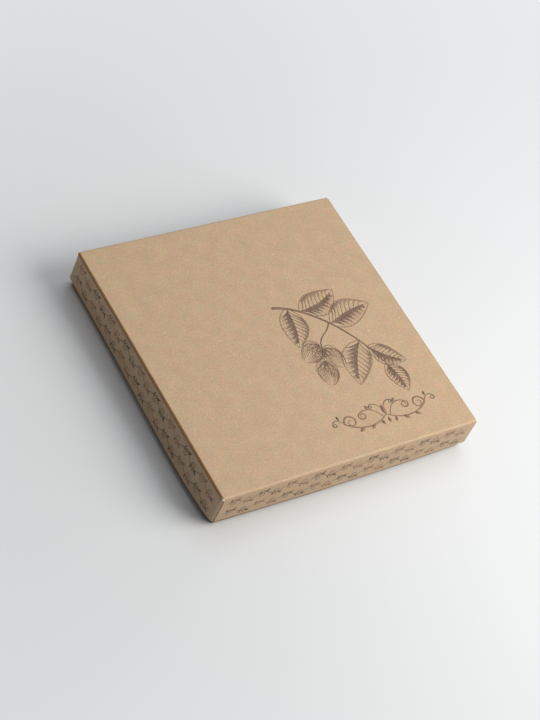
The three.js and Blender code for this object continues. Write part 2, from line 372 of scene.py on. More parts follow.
def add_floor():
    tree = Finish("studio_paper")
    place = tree.place()
    tree.done(tree.blend(tree.noise(place, 900.0, 2.0), *FLOOR_PAPER), 0.9, 0.2)
    far = tree.add("ShaderNodeVectorMath", {0: place}, operation="LENGTH")["Value"]
    ray = tree.add("ShaderNodeLightPath")
    seen = tree.math("MAXIMUM", ray["Is Camera Ray"], ray["Is Glossy Ray"])
    fade = tree.times(seen, tree.ramp(far, *FLOOR_FADE))
    glow = tree.out("ShaderNodeEmission", {"Color": BACKDROP, "Strength": 1.0})
    mixed = tree.out("ShaderNodeMixShader", {0: fade, 1: tree.shader.outputs[0], 2: glow})
    tree.join(mixed, tree.data.nodes["Material Output"].inputs["Surface"])
    shape = bmesh.new()
    bmesh.ops.create_grid(shape, x_segments=8, y_segments=8, size=FLOOR_SIZE)
    floor = bpy.data.objects.new("studio_floor", to_mesh(shape, "studio_floor", [tree.material]))
    bpy.context.scene.collection.objects.link(floor)


def add_lamp(name, direction, distance, size, power, colour):
    data = bpy.data.lights.new(name, "AREA")
    data.color = colour
    data.shape = "DISK"
    data.size = size
    data.energy = power
    lamp = bpy.data.objects.new(name, data)
    lamp.matrix_world = looking_back(Vector(direction).normalized(), distance)
    lamp.visible_camera = False
    bpy.context.scene.collection.objects.link(lamp)


def light_world():
    world = bpy.data.worlds.new("studio")
    bpy.context.scene.world = world
    world.use_nodes = True
    tree = Tree(world.node_tree)
    sky = tree.out("ShaderNodeBackground", {"Color": SKY, "Strength": FILL_STRENGTH})
    seen = tree.out("ShaderNodeBackground", {"Color": BACKDROP, "Strength": 1.0})
    camera_ray = tree.add("ShaderNodeLightPath")["Is Camera Ray"]
    mixed = tree.out("ShaderNodeMixShader", {0: camera_ray, 1: sky, 2: seen})
    tree.join(mixed, tree.data.nodes["World Output"].inputs["Surface"])


add_floor()
for lamp_name, lamp_values in LAMPS.items():
    add_lamp(lamp_name, *lamp_values)
light_world()
print("floor", FLOOR_SIZE * 2, "m wide, lamps", list(LAMPS), "fill", FILL_STRENGTH)

# %% [markdown]
# ## Kraft board
# Kraft board is unbleached pulp pressed in layers, so it is never one brown. It has soft clouds where the
# pulp lay thicker, a fine grain, short pale and dark fibres lying every way, a few dark specks of bark and
# a few pale chips. One shader group makes all of that from a place on the board, and the board, the card
# and the inks each pass it a colour of their own.

# %% Kraft fibres, as a group
FIBRE_LENGTH = 2.6 * MM
FIBRE_WIDTH = 0.42 * MM
FIBRE_BEND = 1.5 * MM
FIBRE_STRETCH = (1 / FIBRE_LENGTH, 1 / FIBRE_WIDTH, 1 / FIBRE_LENGTH)
# The angle of each set of fibres, and a shift that keeps the sets apart: two pale sets and a dark one
FIBRE_SETS = ((0.35, (3.1, 7.7, 0)), (1.45, (11.3, 2.9, 0)), (2.55, (5.7, 13.1, 0)))


def fibre_mask(tree, place, angle, shift):
    """Short thin strokes that lie near one angle, as a mask from 0 to 1."""
    wander = tree.add("ShaderNodeTexNoise", {"Vector": place, "Scale": 210.0, "Detail": 1.0})["Color"]
    bent = tree.vector("ADD", place, tree.scaled(wander, FIBRE_BEND))
    turned = tree.out("ShaderNodeVectorRotate", {"Vector": bent, "Angle": angle}, rotation_type="Z_AXIS")
    stretched = tree.vector("MULTIPLY_ADD", turned, FIBRE_STRETCH, shift)
    return tree.spots(stretched, 1.0, (0.16, 0.42), (0.62, 0.72))


def make_kraft_group():
    inputs = {"Place": "Vector", "Board Colour": "Color"}
    tree, start, end = new_group("kraft_fibres", "ShaderNodeTree", inputs, SHADE)
    place = start["Place"]
    apart = tree.vector("ADD", place, (0.7, 0.3, 0.9))
    further = tree.vector("ADD", place, (0.2, 0.9, 0.4))
    clouds = tree.noise(place, 95.0, 3.0)
    grain = tree.noise(place, 760.0, 3.0)
    tint = tree.noise(apart, 150.0, 3.0)
    straw = tree.noise(further, 170.0, 3.0)
    pale, more_pale, dark = (fibre_mask(tree, place, *fibres) for fibres in FIBRE_SETS)
    pale = tree.math("MAXIMUM", pale, more_pale)
    bark = tree.spots(apart, 260.0, (0.05, 0.14), (0.86, 0.92), 1)
    chips = tree.spots(further, 210.0, (0.06, 0.15), (0.86, 0.90))

    shade = tree.times(tree.ramp(clouds, 0.25, 0.75, 0.945, 1.055), tree.ramp(grain, 0.2, 0.8, 0.85, 1.15))
    for mask, strength in ((pale, 1.13), (dark, 0.86), (bark, 0.78), (chips, 1.30)):
        shade = tree.times(shade, tree.ramp(mask, 0.0, 1.0, 1.0, strength))
    red = tree.ramp(tint, 0.25, 0.75, 0.94, 1.06)
    green = tree.ramp(tint, 0.25, 0.75, 1.035, 0.965)
    blue = tree.ramp(straw, 0.25, 0.75, 0.93, 1.07)
    colour = tree.vector("MULTIPLY", tree.scaled(start["Board Colour"], shade), tree.xyz(red, green, blue))
    height = tree.plus(tree.times(grain, 0.6), tree.times(pale, 0.25))
    return tree.close(end, colour, height, tree.ramp(grain, 0.2, 0.8, 0.42, 0.58))


kraft_fibres = make_kraft_group()
print("kraft group", len(kraft_fibres.nodes), "nodes")

# %% [markdown]
# The board's outside face reads its pattern from the flat blank, through a UV map in metres, so that fibres
# run on over a fold as they do on a real sheet. Each point also carries two marks of the fold it lies on.
# Wear rubs the stretched outer layer pale. The other mark is painted shade: it darkens the folds of the
# lid's side walls, the left one fully and the right one less, and, in a duller tone, the tray's foot, as a
# painted shadow under the lid's edge. So there are two kraft finishes, and a third for cut edges.

# %% Kraft materials
KRAFT = (0.450, 0.308, 0.189, 1)
RUBBED = (0.590, 0.430, 0.280, 1)
# Painted shade: this colour darkens the lid's side-wall folds, fully on the left and less on the right
PAINTED_FOLD_SHADE = (0.62, 0.47, 0.33, 1)
# Painted shadow: this colour darkens the tray's foot, as a dark line under the lid's edge
PAINTED_FOOT_SHADOW = (0.40, 0.35, 0.31, 1)
# The painted-shade band is also made rougher, which takes the sheen off it
PAINTED_SHADE_ROUGHNESS = 0.85
CUT_PULP = (0.680, 0.520, 0.365, 1)
CUT_SHADE = 0.72
CUT_LAYERS = (900.0, 900.0, 3600.0)


def make_kraft_board(name, pressed):
    tree = Finish(name)
    blank = tree.out("ShaderNodeUVMap", uv_map="blank")
    fibres = tree.shared(kraft_fibres, {"Place": blank, "Board Colour": KRAFT})
    patches = tree.ramp(tree.noise(blank, 420.0, 3.0), 0.3, 0.7, 0.0, 0.20)
    colour = tree.blend(tree.times(tree.carried("fold_wear"), patches), fibres["Colour"], RUBBED)
    # The second fold mark is painted shade: it multiplies the board by the given shade colour
    painted_shade = tree.carried("fold_press")
    colour = tree.blend(painted_shade, colour, pressed, "MULTIPLY")
    rough = tree.math("MAXIMUM", fibres["Roughness"], tree.times(painted_shade, PAINTED_SHADE_ROUGHNESS))
    return tree.done(colour, rough, 0.42, (fibres["Height"], 0.3, 0.05 * MM))


def make_cut_edge():
    tree = Finish("kraft_cut_edge")
    layers = tree.noise(tree.vector("MULTIPLY", tree.place(), CUT_LAYERS), 1.0, 3.0)
    dark = tuple(value * CUT_SHADE for value in CUT_PULP[:3]) + (1,)
    return tree.done(tree.blend(layers, dark, CUT_PULP), 0.92, 0.15, (layers, 0.5, 0.08 * MM))


lid_kraft = make_kraft_board("lid_kraft", PAINTED_FOLD_SHADE)
# The tray's board carries painted shadow on its foot and its bottom folds
tray_kraft = make_kraft_board("tray_kraft", PAINTED_FOOT_SHADOW)
cut_edge = make_cut_edge()
print("materials", lid_kraft.name, tray_kraft.name, cut_edge.name)

# %% [markdown]
# ## Folding a blank
# Lid and tray are each one flat sheet: a square panel, four walls, and a tab on both ends of the left and
# right walls, which turns the corner and is glued behind the front or back wall. A box could be made of six
# slabs, but then the corners would have no folds, seams or notches. So the sheet is drawn flat, as a die
# would cut it, and one formula folds every point of it. Solidify then gives it the board's thickness,
# inwards, and the cut edges.

# %% Fold a flat blank into a tray
PANEL_STEPS = 84
WALL_STEPS = 12
FOLD_STEPS = 8
TAB_STEPS = 12
TAB_LENGTH = 22 * MM
TAB_RELIEF = 0.6 * MM
GLUE_LINE = 0.04 * MM
LEFT_END_SHIFT = 0.6 * MM
RIGHT_END_SHIFT = 1.05 * MM
RIGHT_END_LEAN = 0.85 * MM
END_COLUMN = 2.4 * MM
END_RUN = 1.2 * MM
# How wide the painted shade is on a fold, and how much weaker it is on the right side
SHADE_BAND_WIDTH = 2.4
RIGHT_PAINTED_SHADE = 0.4
# How far up the tray's wall the painted shadow on its foot fades out
TRAY_SHADE_FADE = 2.4 * MM


def steps(start, end, count):
    return [start + (end - start) * index / count for index in range(count + 1)]


class Blank:
    """The flat blank of one tray: its lines, and the formula that folds it."""

    def __init__(self, side, depth, radius, end_press, press_fade=0.0):
        self.depth = depth
        self.radius = radius
        self.end_press = end_press
        self.press_fade = press_fade
        self.arc = radius * math.pi / 2
        self.flat = side / 2 - radius
        self.tab_line = self.flat - BOARD - GLUE_LINE
        self.edge = self.flat + self.arc + depth - radius

    def turn(self, run):
        """How far out and how far round a fold a point goes, once it has run past the fold line."""
        angle = min(max(run, 0.0), self.arc) / self.radius
        past = max(0.0, run - self.arc)
        return self.radius * math.sin(angle), self.radius * (1 - math.cos(angle)) + past

    def on_fold(self, run):
        """1 at the middle of a fold, 0 off it."""
        return math.sin(math.pi * run / self.arc) if 0 < run < self.arc else 0.0

    def on_score(self, run):
        """1 over most of a fold with painted shade, 0 off it; with a fade, the painted shade dies out up
        the wall.
        """
        if self.press_fade and run > self.arc / 2:
            return max(0.0, 1 - max(0.0, run - self.arc) / self.press_fade)
        return min(1.0, SHADE_BAND_WIDTH * self.on_fold(run))

    def end_shift(self, across, drop):
        """The front and back walls' cut ends lie a little to the right of the panel's corners."""
        at_end = max(0.0, 1 - (self.flat - abs(across)) / END_COLUMN)
        below = min(1.0, drop / END_RUN)
        if across < 0:
            return at_end * below * LEFT_END_SHIFT
        return at_end * (below * RIGHT_END_SHIFT + drop / self.depth * RIGHT_END_LEAN)

    def fold(self, across, along):
        """Where a point of the blank goes: x, y, how far from the panel, its wear and its painted shade."""
        if abs(across) > self.flat:
            run = abs(across) - self.flat
            reach, drop = self.turn(run)
            tab_reach, tab_back = self.turn(abs(along) - self.tab_line)
            x = math.copysign(self.flat + reach - tab_back, across)
            y = math.copysign(min(abs(along), self.tab_line) + tab_reach, along)
            # The side folds get painted shade, weaker on the right
            painted_shade = self.on_score(run) * (RIGHT_PAINTED_SHADE if across > 0 else 1.0)
            return x, y, drop, self.on_fold(abs(along) - self.tab_line) / 2, painted_shade
        run = abs(along) - self.flat
        reach, drop = self.turn(run)
        x = across + self.end_shift(across, drop)
        y = math.copysign(min(abs(along), self.flat) + reach, along)
        # Where the blank asks for it, as on the tray, the front and back folds get painted shade in place
        # of wear
        return x, y, drop, self.on_fold(run) * (1 - self.end_press), self.on_score(run) * self.end_press

    def strips(self):
        """The blank as strips, each by the lines that cut it into quads."""
        fold_end = self.flat + self.arc
        turn = steps(self.flat, fold_end, FOLD_STEPS)
        middle = steps(-self.tab_line, self.tab_line, PANEL_STEPS)
        end_wall = turn + steps(fold_end, self.edge, WALL_STEPS)[1:]
        yield (
            steps(-self.flat, self.flat, PANEL_STEPS),
            [-value for value in reversed(end_wall)] + middle + end_wall,
        )
        tab_heights = steps(fold_end + TAB_RELIEF, self.edge - TAB_RELIEF, WALL_STEPS)
        side_wall = turn + tab_heights + [self.edge]
        tab_turn = steps(self.tab_line, self.tab_line + self.arc, FOLD_STEPS)
        tab = tab_turn + steps(tab_turn[-1], tab_turn[-1] + TAB_LENGTH, TAB_STEPS)[1:]
        for hand in (-1, 1):
            yield sorted(hand * value for value in side_wall), middle
            for end in (-1, 1):
                yield sorted(hand * value for value in tab_heights), sorted(end * value for value in tab)


def folded_mesh(blank, place, kraft):
    """The blank's outside face, folded; place(x, y, drop) says where a point goes."""
    shape = bmesh.new()
    uv = shape.loops.layers.uv.new("blank")
    fold_wear = shape.verts.layers.float.new("fold_wear")
    fold_press = shape.verts.layers.float.new("fold_press")
    for across_lines, along_lines in blank.strips():
        rows = []
        for across in across_lines:
            row = []
            for along in along_lines:
                x, y, drop, wear, painted_shade = blank.fold(across, along)
                vert = shape.verts.new(place(x, y, drop))
                vert[fold_wear] = wear
                vert[fold_press] = painted_shade
                row.append((vert, (across, along)))
            rows.append(row)
        for low, high in zip(rows, rows[1:]):
            for ring in zip(low, high, high[1:], low[1:]):
                face = shape.faces.new([vert for vert, spot in ring])
                for loop, (vert, spot) in zip(face.loops, ring):
                    loop[uv].uv = spot
    bmesh.ops.remove_doubles(shape, verts=shape.verts, dist=WELD)
    return to_mesh(shape, "blank", (kraft, cut_edge))


print("folds of", FOLD_RADIUS / MM, "and", TRAY_FOLD_RADIUS / MM, "mm radius")

# %% [markdown]
# Real board is never quite flat. Each panel settles a little, and a fold wanders by a hair. The lid's walls
# are held only at their corners, so between them the free lower edge flares out by a millimetre or two. The
# tray's rim draws in instead, while its foot stands out and bows. The waves come from noise with a fixed
# seed, so every run gives the same board. The same small warp is used for the board and for the ink printed
# on it, so the two stay together.

# %% Warp and finish the board
PANEL_SAG = 0.35 * MM
SAG_DEPTH = 4 * BOARD
LID_FLARE = {"left": 4.6 * MM, "right": 2.6 * MM, "front": 1.5 * MM, "back": 1.3 * MM}
TRAY_FLARE = dict.fromkeys(LID_FLARE, -0.45 * MM)
TRAY_FOOT = 0.55 * MM
TRAY_FOOT_BOW = 1.45 * MM
WALL_ZONE = 6 * MM
WAVE = 0.16 * MM
WAVES_PER_METRE = 21
FOLD_WAVE = 0.05 * MM
FOLD_WAVES_PER_METRE = 170
FOLD_ZONE = 3 * FOLD_RADIUS
WAVE_SEED = 4
TABLE = 0.02 * MM
BOARD_SHARP = math.radians(40)

noise.seed_set(WAVE_SEED)


def side_bulge(run):
    """How a side wall bulges along its length, which runs from 0 at the back to 1 at the front."""
    return max(0.0, run) ** 1.5 * max(0.0, 1 - run ** 8)


def settled(point, side, depth, panel_height, away, flare, foot, foot_bow):
    """A point of a folded blank, moved as board settles; away is the side the panel's face looks to."""
    half = side / 2
    drop = abs(point.z - panel_height)
    lean = min(1.0, drop / depth)
    near_x, near_y = (max(0.0, (abs(part) - half + WALL_ZONE) / WALL_ZONE) for part in point.xy)
    along_x, along_y = (max(0.0, 1 - (part / half) ** 2) for part in point.xy)
    bulge = side_bulge((1 - point.y / half) / 2)
    out_x = lean * bulge * flare["left" if point.x < 0 else "right"] + (1 - lean) * foot
    out_y = lean * along_x * flare["front" if point.y < 0 else "back"]
    out_y += (1 - lean) * (foot + along_x * foot_bow)
    at_fold = max(0.0, 1 - drop / FOLD_ZONE) * max(near_x, near_y)
    moved = point.copy()
    moved.x += math.copysign(near_x, point.x) * out_x
    moved.y += math.copysign(near_y, point.y) * out_y
    moved.z -= away * PANEL_SAG * along_x * along_y * max(0.0, 1 - drop / SAG_DEPTH)
    moved += noise.noise_vector(point * WAVES_PER_METRE) * WAVE
    moved += noise.noise_vector(point * FOLD_WAVES_PER_METRE) * FOLD_WAVE * at_fold
    moved.z = max(moved.z, TABLE)
    return moved


def finish_board(name, mesh, warp, replaced):
    """Give the folded sheet its thickness, its cut edges and its settled shape."""
    solid = thickened(mesh, BOARD, offset=-1, use_even_offset=True, material_offset_rim=1)
    warped(solid, warp)
    solid.shade_smooth()
    solid.set_sharp_from_angle(angle=BOARD_SHARP)
    return make_piece(name, solid, replaced)


flares = {wall: round(value / MM, 2) for wall, value in LID_FLARE.items()}
print("panel sag", PANEL_SAG / MM, "mm, lid flare", flares, "mm")

# %% [markdown]
# ## Lid and tray
# The lid's panel is on top and its walls hang down from it.

# %% The lid
def lid_place(x, y, drop):
    return Vector((x, y, lid_high.z - drop))


def lid_warp(point):
    return settled(point, LID_SIDE, LID_DEPTH, lid_high.z, 1, LID_FLARE, 0.0, 0.0)


lid_blank = Blank(LID_SIDE, LID_DEPTH, FOLD_RADIUS, 0.0)
lid = finish_board("lid_board", folded_mesh(lid_blank, lid_place, lid_kraft), lid_warp, "lid")
print("lid", len(lid.data.polygons), "faces")

# %% [markdown]
# The tray is the same make, a little smaller and the other way up, so its sheet is turned over to keep the
# outside face outside.

# %% The tray
def tray_place(x, y, drop):
    return Vector((x, y, tray_low.z + drop))


def tray_warp(point):
    return settled(point, TRAY_SIDE, TRAY_DEPTH, tray_low.z, -1, TRAY_FLARE, TRAY_FOOT, TRAY_FOOT_BOW)


# All four bottom folds of the tray and the foot above them get painted shadow, and no wear
tray_blank = Blank(TRAY_SIDE, TRAY_DEPTH, TRAY_FOLD_RADIUS, 1.0, TRAY_SHADE_FADE)
tray_mesh = folded_mesh(tray_blank, tray_place, tray_kraft)
tray_mesh.flip_normals()
tray = finish_board("tray_board", tray_mesh, tray_warp, "base_tray")
print("tray", len(tray.data.polygons), "faces")

# %% [markdown]
# ## Torn corners
# Where two folds meet, a corner of the lid is a small open notch. Handling rubs it, and the board tears
# there into white fibre, most of all at the corner that is nearest to hand. Each notch is closed by a
# little crumpled patch of torn pulp, an eighth of a ball that is pushed about by noise.

# %% Torn pulp
TORN_BOARD = (0.340, 0.215, 0.120, 1)
TORN_WHITE = (0.820, 0.730, 0.620, 1)
TEAR_STEPS = 12
TEAR_LIFT = (-20, 92)
TEAR_TURN = (-14, 104)
TEAR_SHEET = 0.25 * MM
TEAR_ROUGHNESS = 0.16 * MM
TEARS_PER_METRE = 1300
TEAR_FIT = Vector((0.96, 0.97, 0.97))
LOW_TEAR_IN = Vector((0.9, 1.5, 0.5)) * MM
LOW_TEAR_REACH = Vector((0.75, 0.75, 0.7)) * MM
# Each corner's side in x and in y, and how worn it is
CORNERS = ((-1, -1, 0.95), (1, -1, 0.45), (1, 1, 0.5), (-1, 1, 0.35))


def make_torn_pulp():
    tree = Finish("torn_pulp")
    fuzz = tree.noise(tree.place(), 1100.0, 3.0)
    white = tree.ramp(tree.plus(fuzz, tree.carried("torn")), 0.95, 1.30)
    return tree.done(tree.blend(white, TORN_BOARD, TORN_WHITE), 0.95, 0.1, (fuzz, 0.8, 0.15 * MM))


def clamped(value):
    return min(1.0, max(0.0, value))


def tear_patch(shape, torn, centre, reach, wear, seed):
    """An eighth of a rough ball about a centre; reach gives its half sizes, and their signs its corner."""
    rows = []
    for lift in steps(*TEAR_LIFT, TEAR_STEPS):
        row = []
        level = math.cos(math.radians(lift))
        for turn in steps(*TEAR_TURN, TEAR_STEPS):
            angle = math.radians(turn)
            out = Vector((math.cos(angle) * level, math.sin(angle) * level, math.sin(math.radians(lift))))
            spot = Vector((middle + part * half for middle, part, half in zip(centre, out, reach)))
            rough = noise.noise(spot * TEARS_PER_METRE + Vector((seed, 0, 0))) * TEAR_ROUGHNESS
            outwards = Vector((math.copysign(part, half) for part, half in zip(out, reach)))
            spot += outwards * rough * (0.5 + wear)
            vert = shape.verts.new(spot)
            vert[torn] = wear * clamped((turn - 10) / 40) * clamped((75 - lift) / 40)
            row.append(vert)
        rows.append(row)
    for low, high in zip(rows, rows[1:]):
        for ring in zip(low, low[1:], high[1:], high):
            shape.faces.new(ring)


def tear_corners():
    shape = bmesh.new()
    torn = shape.verts.layers.float.new("torn")
    half = LID_SIDE / 2
    deep = lid_blank.tab_line
    for seed, (right_hand, back_hand, wear) in enumerate(CORNERS):
        hands = Vector((right_hand, back_hand, 1))
        centre = hands * Vector((half - FOLD_RADIUS, deep, lid_high.z - FOLD_RADIUS))
        reach = hands * TEAR_FIT * Vector((FOLD_RADIUS, half - deep, FOLD_RADIUS))
        tear_patch(shape, torn, centre, reach, wear, seed)
        hands.z = -1
        centre = hands * (Vector((half, half, -lid_low.z)) - LOW_TEAR_IN)
        tear_patch(shape, torn, centre, hands * LOW_TEAR_REACH, wear, seed + 9)
    bmesh.ops.remove_doubles(shape, verts=shape.verts, dist=WELD)
    bmesh.ops.recalc_face_normals(shape, faces=shape.faces)
    solid = warped(thickened(to_mesh(shape, "torn_corners", [make_torn_pulp()]), TEAR_SHEET), lid_warp)
    solid.shade_smooth()
    return make_piece("torn_corners", solid)


torn_corners = tear_corners()
print("torn corners", len(torn_corners.data.polygons), "faces")

# %% [markdown]
# ## Ink
# The print is in three thin inks, a brown, a lighter russet and a dark grey-brown, on rough board, so the
# board's clouds show through it and it breaks up on the grain. It could be painted in the board's material,
# but a print with real edges stays sharp in any view. So each stroke is a very flat ribbon, half sunk in
# the board, which follows the board's warp.

# %% Ink materials
INKS = {
    "brown_ink": (0.172, 0.102, 0.070, 1),
    "russet_ink": (0.255, 0.146, 0.092, 1),
    "dark_ink": (0.130, 0.098, 0.070, 1),
}


def make_ink(name, ink):
    tree = Finish(name)
    place = tree.place()
    fibres = tree.shared(kraft_fibres, {"Place": place, "Board Colour": ink})
    missed = tree.ramp(tree.noise(place, 1500.0, 2.0), 0.58, 0.80, 0.0, 0.55)
    thin = tree.ramp(tree.noise(place, 130.0, 2.0), 0.45, 0.75, 0.0, 0.22)
    return tree.done(tree.blend(tree.plus(missed, thin), fibres["Colour"], KRAFT), fibres["Roughness"], 0.3)


brown_ink, russet_ink, dark_ink = (make_ink(name, ink) for name, ink in INKS.items())
print("inks", list(INKS))

# %% [markdown]
# A stroke is a line with a width at each point, as a graver cuts it: it swells and runs out thin. Geometry
# Nodes sweep a flat profile along every line, scaled by the width at each point, which is one small tree
# for hundreds of strokes.

# %% Ink strokes, as Geometry Nodes
INK_FLATNESS = 0.20


def sweep(tree, curve, profile):
    """A profile along a curve, as large as the curve's radius says, and never rolled."""
    values = {
        "Curve": tree.out("GeometryNodeSetCurveNormal", {"Curve": curve}, mode="Z_UP"),
        "Profile Curve": profile,
        "Scale": tree.out("GeometryNodeInputRadius"),
        "Fill Caps": True,
    }
    return tree.out("GeometryNodeCurveToMesh", values)


def ribbon(tree, curve, flatness):
    profile = tree.out("GeometryNodeCurvePrimitiveQuadrilateral", {"Width": 2.0, "Height": flatness})
    return sweep(tree, curve, profile)


def make_stroke_tree():
    inputs = {"Lines": "Geometry", "Flatness": "Float", "Ink": "Material"}
    tree, start, end = new_group("ink_strokes", "GeometryNodeTree", inputs, {"Print": "Geometry"})
    return tree.close(end, tree.dressed(ribbon(tree, start["Lines"], start["Flatness"]), start["Ink"]))


def lay_print(name, mesh, place):
    """Put a print on the lid: place(spot) gives a point of the unsettled lid."""
    return make_piece(name, warped(mesh, lambda spot: lid_warp(place(spot))))


def print_on_top(name, strokes, ink, x=0.0, y=0.0):
    """Print strokes on the lid's top, about a centre; a stroke is a list of (spot, half width)."""
    lines = [[((spot.real, spot.imag, 0), half) for spot, half in stroke] for stroke in strokes]
    mesh = run_tree(stroke_tree, {"Flatness": INK_FLATNESS, "Ink": ink}, drawn_lines(lines))
    centre = Vector((x * MM, y * MM, lid_high.z))
    return lay_print(name, mesh, lambda spot: centre + spot * MM)


stroke_tree = make_stroke_tree()
print("stroke tree", len(stroke_tree.nodes), "nodes")

# %% [markdown]
# ## The printed sprig
# A leafy nut twig in the manner of an old wood engraving fills the lower right of the lid. Each leaf is
# drawn on its own little net: how far along the midrib, and how far out to the edge. Veins and hatching are
# lines of that net, so they bend with the leaf. One half of a leaf is hatched from the midrib and the other
# from its edge, as if light fell across it. The drawing is in millimetres, and its spots are complex
# numbers, which turn and shift with one sum.

# %% Draw a hatched leaf
VEINS = 8
VEIN_START = 0.05
VEIN_SPAN = 0.82
VEIN_SWEEP = 0.20
HATCH_PER_VEIN = 5
TEETH = 15
TOOTH_DEPTH = 0.07
HAIR = 0.145


def tapered(points, start, middle, end, unit=HAIR):
    """Give a line a half width that goes from start through middle to end, in units."""
    last = len(points) - 1
    line = []
    for index, spot in enumerate(points):
        t = index / last
        half = start + (middle - start) * t * 2 if t < 0.5 else middle + (end - middle) * (t * 2 - 1)
        line.append((spot, half * unit))
    return line


class Leaf:
    """The net of one leaf: its midrib, its half width, and its toothed edge."""

    def __init__(self, base, angle, length, width, bend):
        self.base = base
        self.along = cmath.rect(1, angle)
        self.length = length
        self.half = width / 2
        self.bend = bend * length

    def spot(self, t, out):
        """The point at t along the midrib and out towards the edge, from -1 to 1."""
        t = min(t, 1.0)
        spread = math.sin(math.pi * t ** 0.82) ** 0.85 if 0 < t < 1 else 0.0
        tooth = 1 + TOOTH_DEPTH * ((t * TEETH) % 1) * abs(out) ** 6
        side = out * self.half * spread * tooth + self.bend * math.sin(math.pi * t * 0.85)
        return self.base + self.along * complex(self.length * t, side)

    def lengthwise(self, out, count):
        """A line of the net from the leaf's base to its tip."""
        return [self.spot(t / count, out) for t in range(count + 1)]

    def line(self, t, start, end, count=6):
        """A line of the net that leaves the midrib at t and sweeps forward."""
        return [
            self.spot(t + VEIN_SWEEP * abs(out) * (1 - t * 0.6), out)
            for out in steps(start, end, count)
        ]


def leaf_strokes(leaf, rng):
    strokes = [tapered(leaf.lengthwise(0, 16), 3.0, 2.4, 0.8)]
    for hand in (-1, 1):
        strokes.append(tapered(leaf.lengthwise(hand, 90), 1.6, 2.0 if hand < 0 else 1.4, 1.2))
        for vein in range(VEINS):
            t = VEIN_START + VEIN_SPAN * vein / VEINS
            strokes.append(tapered(leaf.line(t, 0, hand * 0.96), 2.0, 1.5, 0.8))
            for hatch in range(1, HATCH_PER_VEIN + 1):
                between = t + VEIN_SPAN / VEINS * hatch / (HATCH_PER_VEIN + 1)
                if hand < 0:
                    reach = rng.uniform(0.62, 0.92) if hatch < 4 else rng.uniform(0.30, 0.55)
                    strokes.append(tapered(leaf.line(between, 0, -reach), 1.9, 1.7, 0.4))
                else:
                    reach = rng.uniform(0.30, 0.62) if hatch < 3 else rng.uniform(0.62, 0.82)
                    strokes.append(tapered(leaf.line(between, 0.96, reach), 1.4, 1.1, 0.4))
    return strokes


print("a leaf has", len(leaf_strokes(Leaf(0, 0, 1, 1, 0), random.Random(1))), "strokes")

# %% [markdown]
# The nuts hang in a cluster. A shell is drawn with lines of longitude that crowd and thicken on the shaded
# side, and each nut sits in a ragged husk, which is a fan of short leaves.

# %% Draw a nut, and put the sprig together
NUT_LINES = 15
NUT_SIZE = (15, 17)
HUSK_FAN = (-0.75, -0.28, 0.2, 0.68)
TWIG_POINTS = 40
# The twig and its stalks, each by the four corners of a cubic curve
TWIG = ((7, 23), (30, 20), (56, -10), (64, -41))
STALKS = (
    ((41.5, 1.5), (37, -6), (31, -6), (27, -12)),
    ((27, -12), (25.4, -15), (24.6, -19), (23.6, -24)),
)
# Each leaf's place along the twig, angle, length, width and bend
LEAVES = (
    (0.14, -106, 33, 19, 0.08),
    (0.28, 21, 35, 20, -0.09),
    (0.53, 11, 38, 21, 0.08),
    (0.76, -118, 38, 21, -0.07),
    (0.82, -36, 28, 16, -0.10),
    (1.00, -84, 25, 15, 0.08),
)
# Each nut's x, y and angle
NUTS = ((15.2, -19.0, -150), (29.6, -26.6, -64), (18.4, -37.4, -106))


def curve_points(corners, count):
    """Points along a cubic curve given by its four corners."""
    line = []
    for t in steps(0, 1, count):
        parts = ((1 - t) ** 3, 3 * t * (1 - t) ** 2, 3 * t ** 2 * (1 - t), t ** 3)
        line.append(sum(part * complex(*corner) for part, corner in zip(parts, corners)))
    return line


def small_leaf(leaf):
    """A bract: an outline, a midrib and a few veins."""
    strokes = [tapered(leaf.lengthwise(0, 8), 2.4, 1.6, 0.6)]
    for hand, out in ((-1, -0.85), (1, 0.55)):
        strokes.append(tapered(leaf.lengthwise(hand, 30), 1.5, 1.8, 0.8))
        strokes += [tapered(leaf.line(0.08 + vein * 0.11, 0, out, 4), 1.7, 1.2, 0.4) for vein in range(7)]
    return strokes


def nut_strokes(centre, angle, width, length, rng):
    strokes = []
    along = cmath.rect(1, angle)

    def shell(turn, t):
        side = math.sin(turn) * width / 2 * math.sin(math.pi * (0.04 + 0.96 * t) ** 0.9) ** 0.62
        return centre + along * complex((t - 0.5) * length + 0.06 * length * t ** 8, side)

    for index in range(NUT_LINES):
        turn = math.pi * (index / (NUT_LINES - 1) - 0.5) * 0.98
        outer = index in (0, NUT_LINES - 1)
        start = 0.0 if outer else rng.uniform(0.16, 0.3)
        stop = 1.0 if outer else rng.uniform(0.72, 0.98)
        weight = 2.2 if outer else 1.2 + 2.2 * (index / NUT_LINES) ** 2
        strokes.append(tapered([shell(turn, t) for t in steps(start, stop, 14)], 0.8, weight, 0.6))
    back = centre - along * length * 0.62
    for fan in HUSK_FAN:
        bract = Leaf(back, angle + fan, length * rng.uniform(0.62, 0.8), width * 0.36, 0.10 * fan)
        strokes += small_leaf(bract)
    return strokes


def sprig_strokes():
    rng = random.Random(11)
    twig = curve_points(TWIG, TWIG_POINTS)
    strokes = [tapered(twig, 7, 5, 3)]
    strokes += [tapered(curve_points(stalk, 16), 4, 3, 3.5) for stalk in STALKS]
    for at, degrees, *size in LEAVES:
        leaf = Leaf(twig[round(at * TWIG_POINTS)], math.radians(degrees), *size)
        strokes += leaf_strokes(leaf, rng)
    for x, y, degrees in NUTS:
        strokes += nut_strokes(complex(x, y), math.radians(degrees), *NUT_SIZE, rng)
    return strokes


sprig = print_on_top("printed_sprig", sprig_strokes(), brown_ink)
print("sprig", len(sprig.data.polygons), "faces")

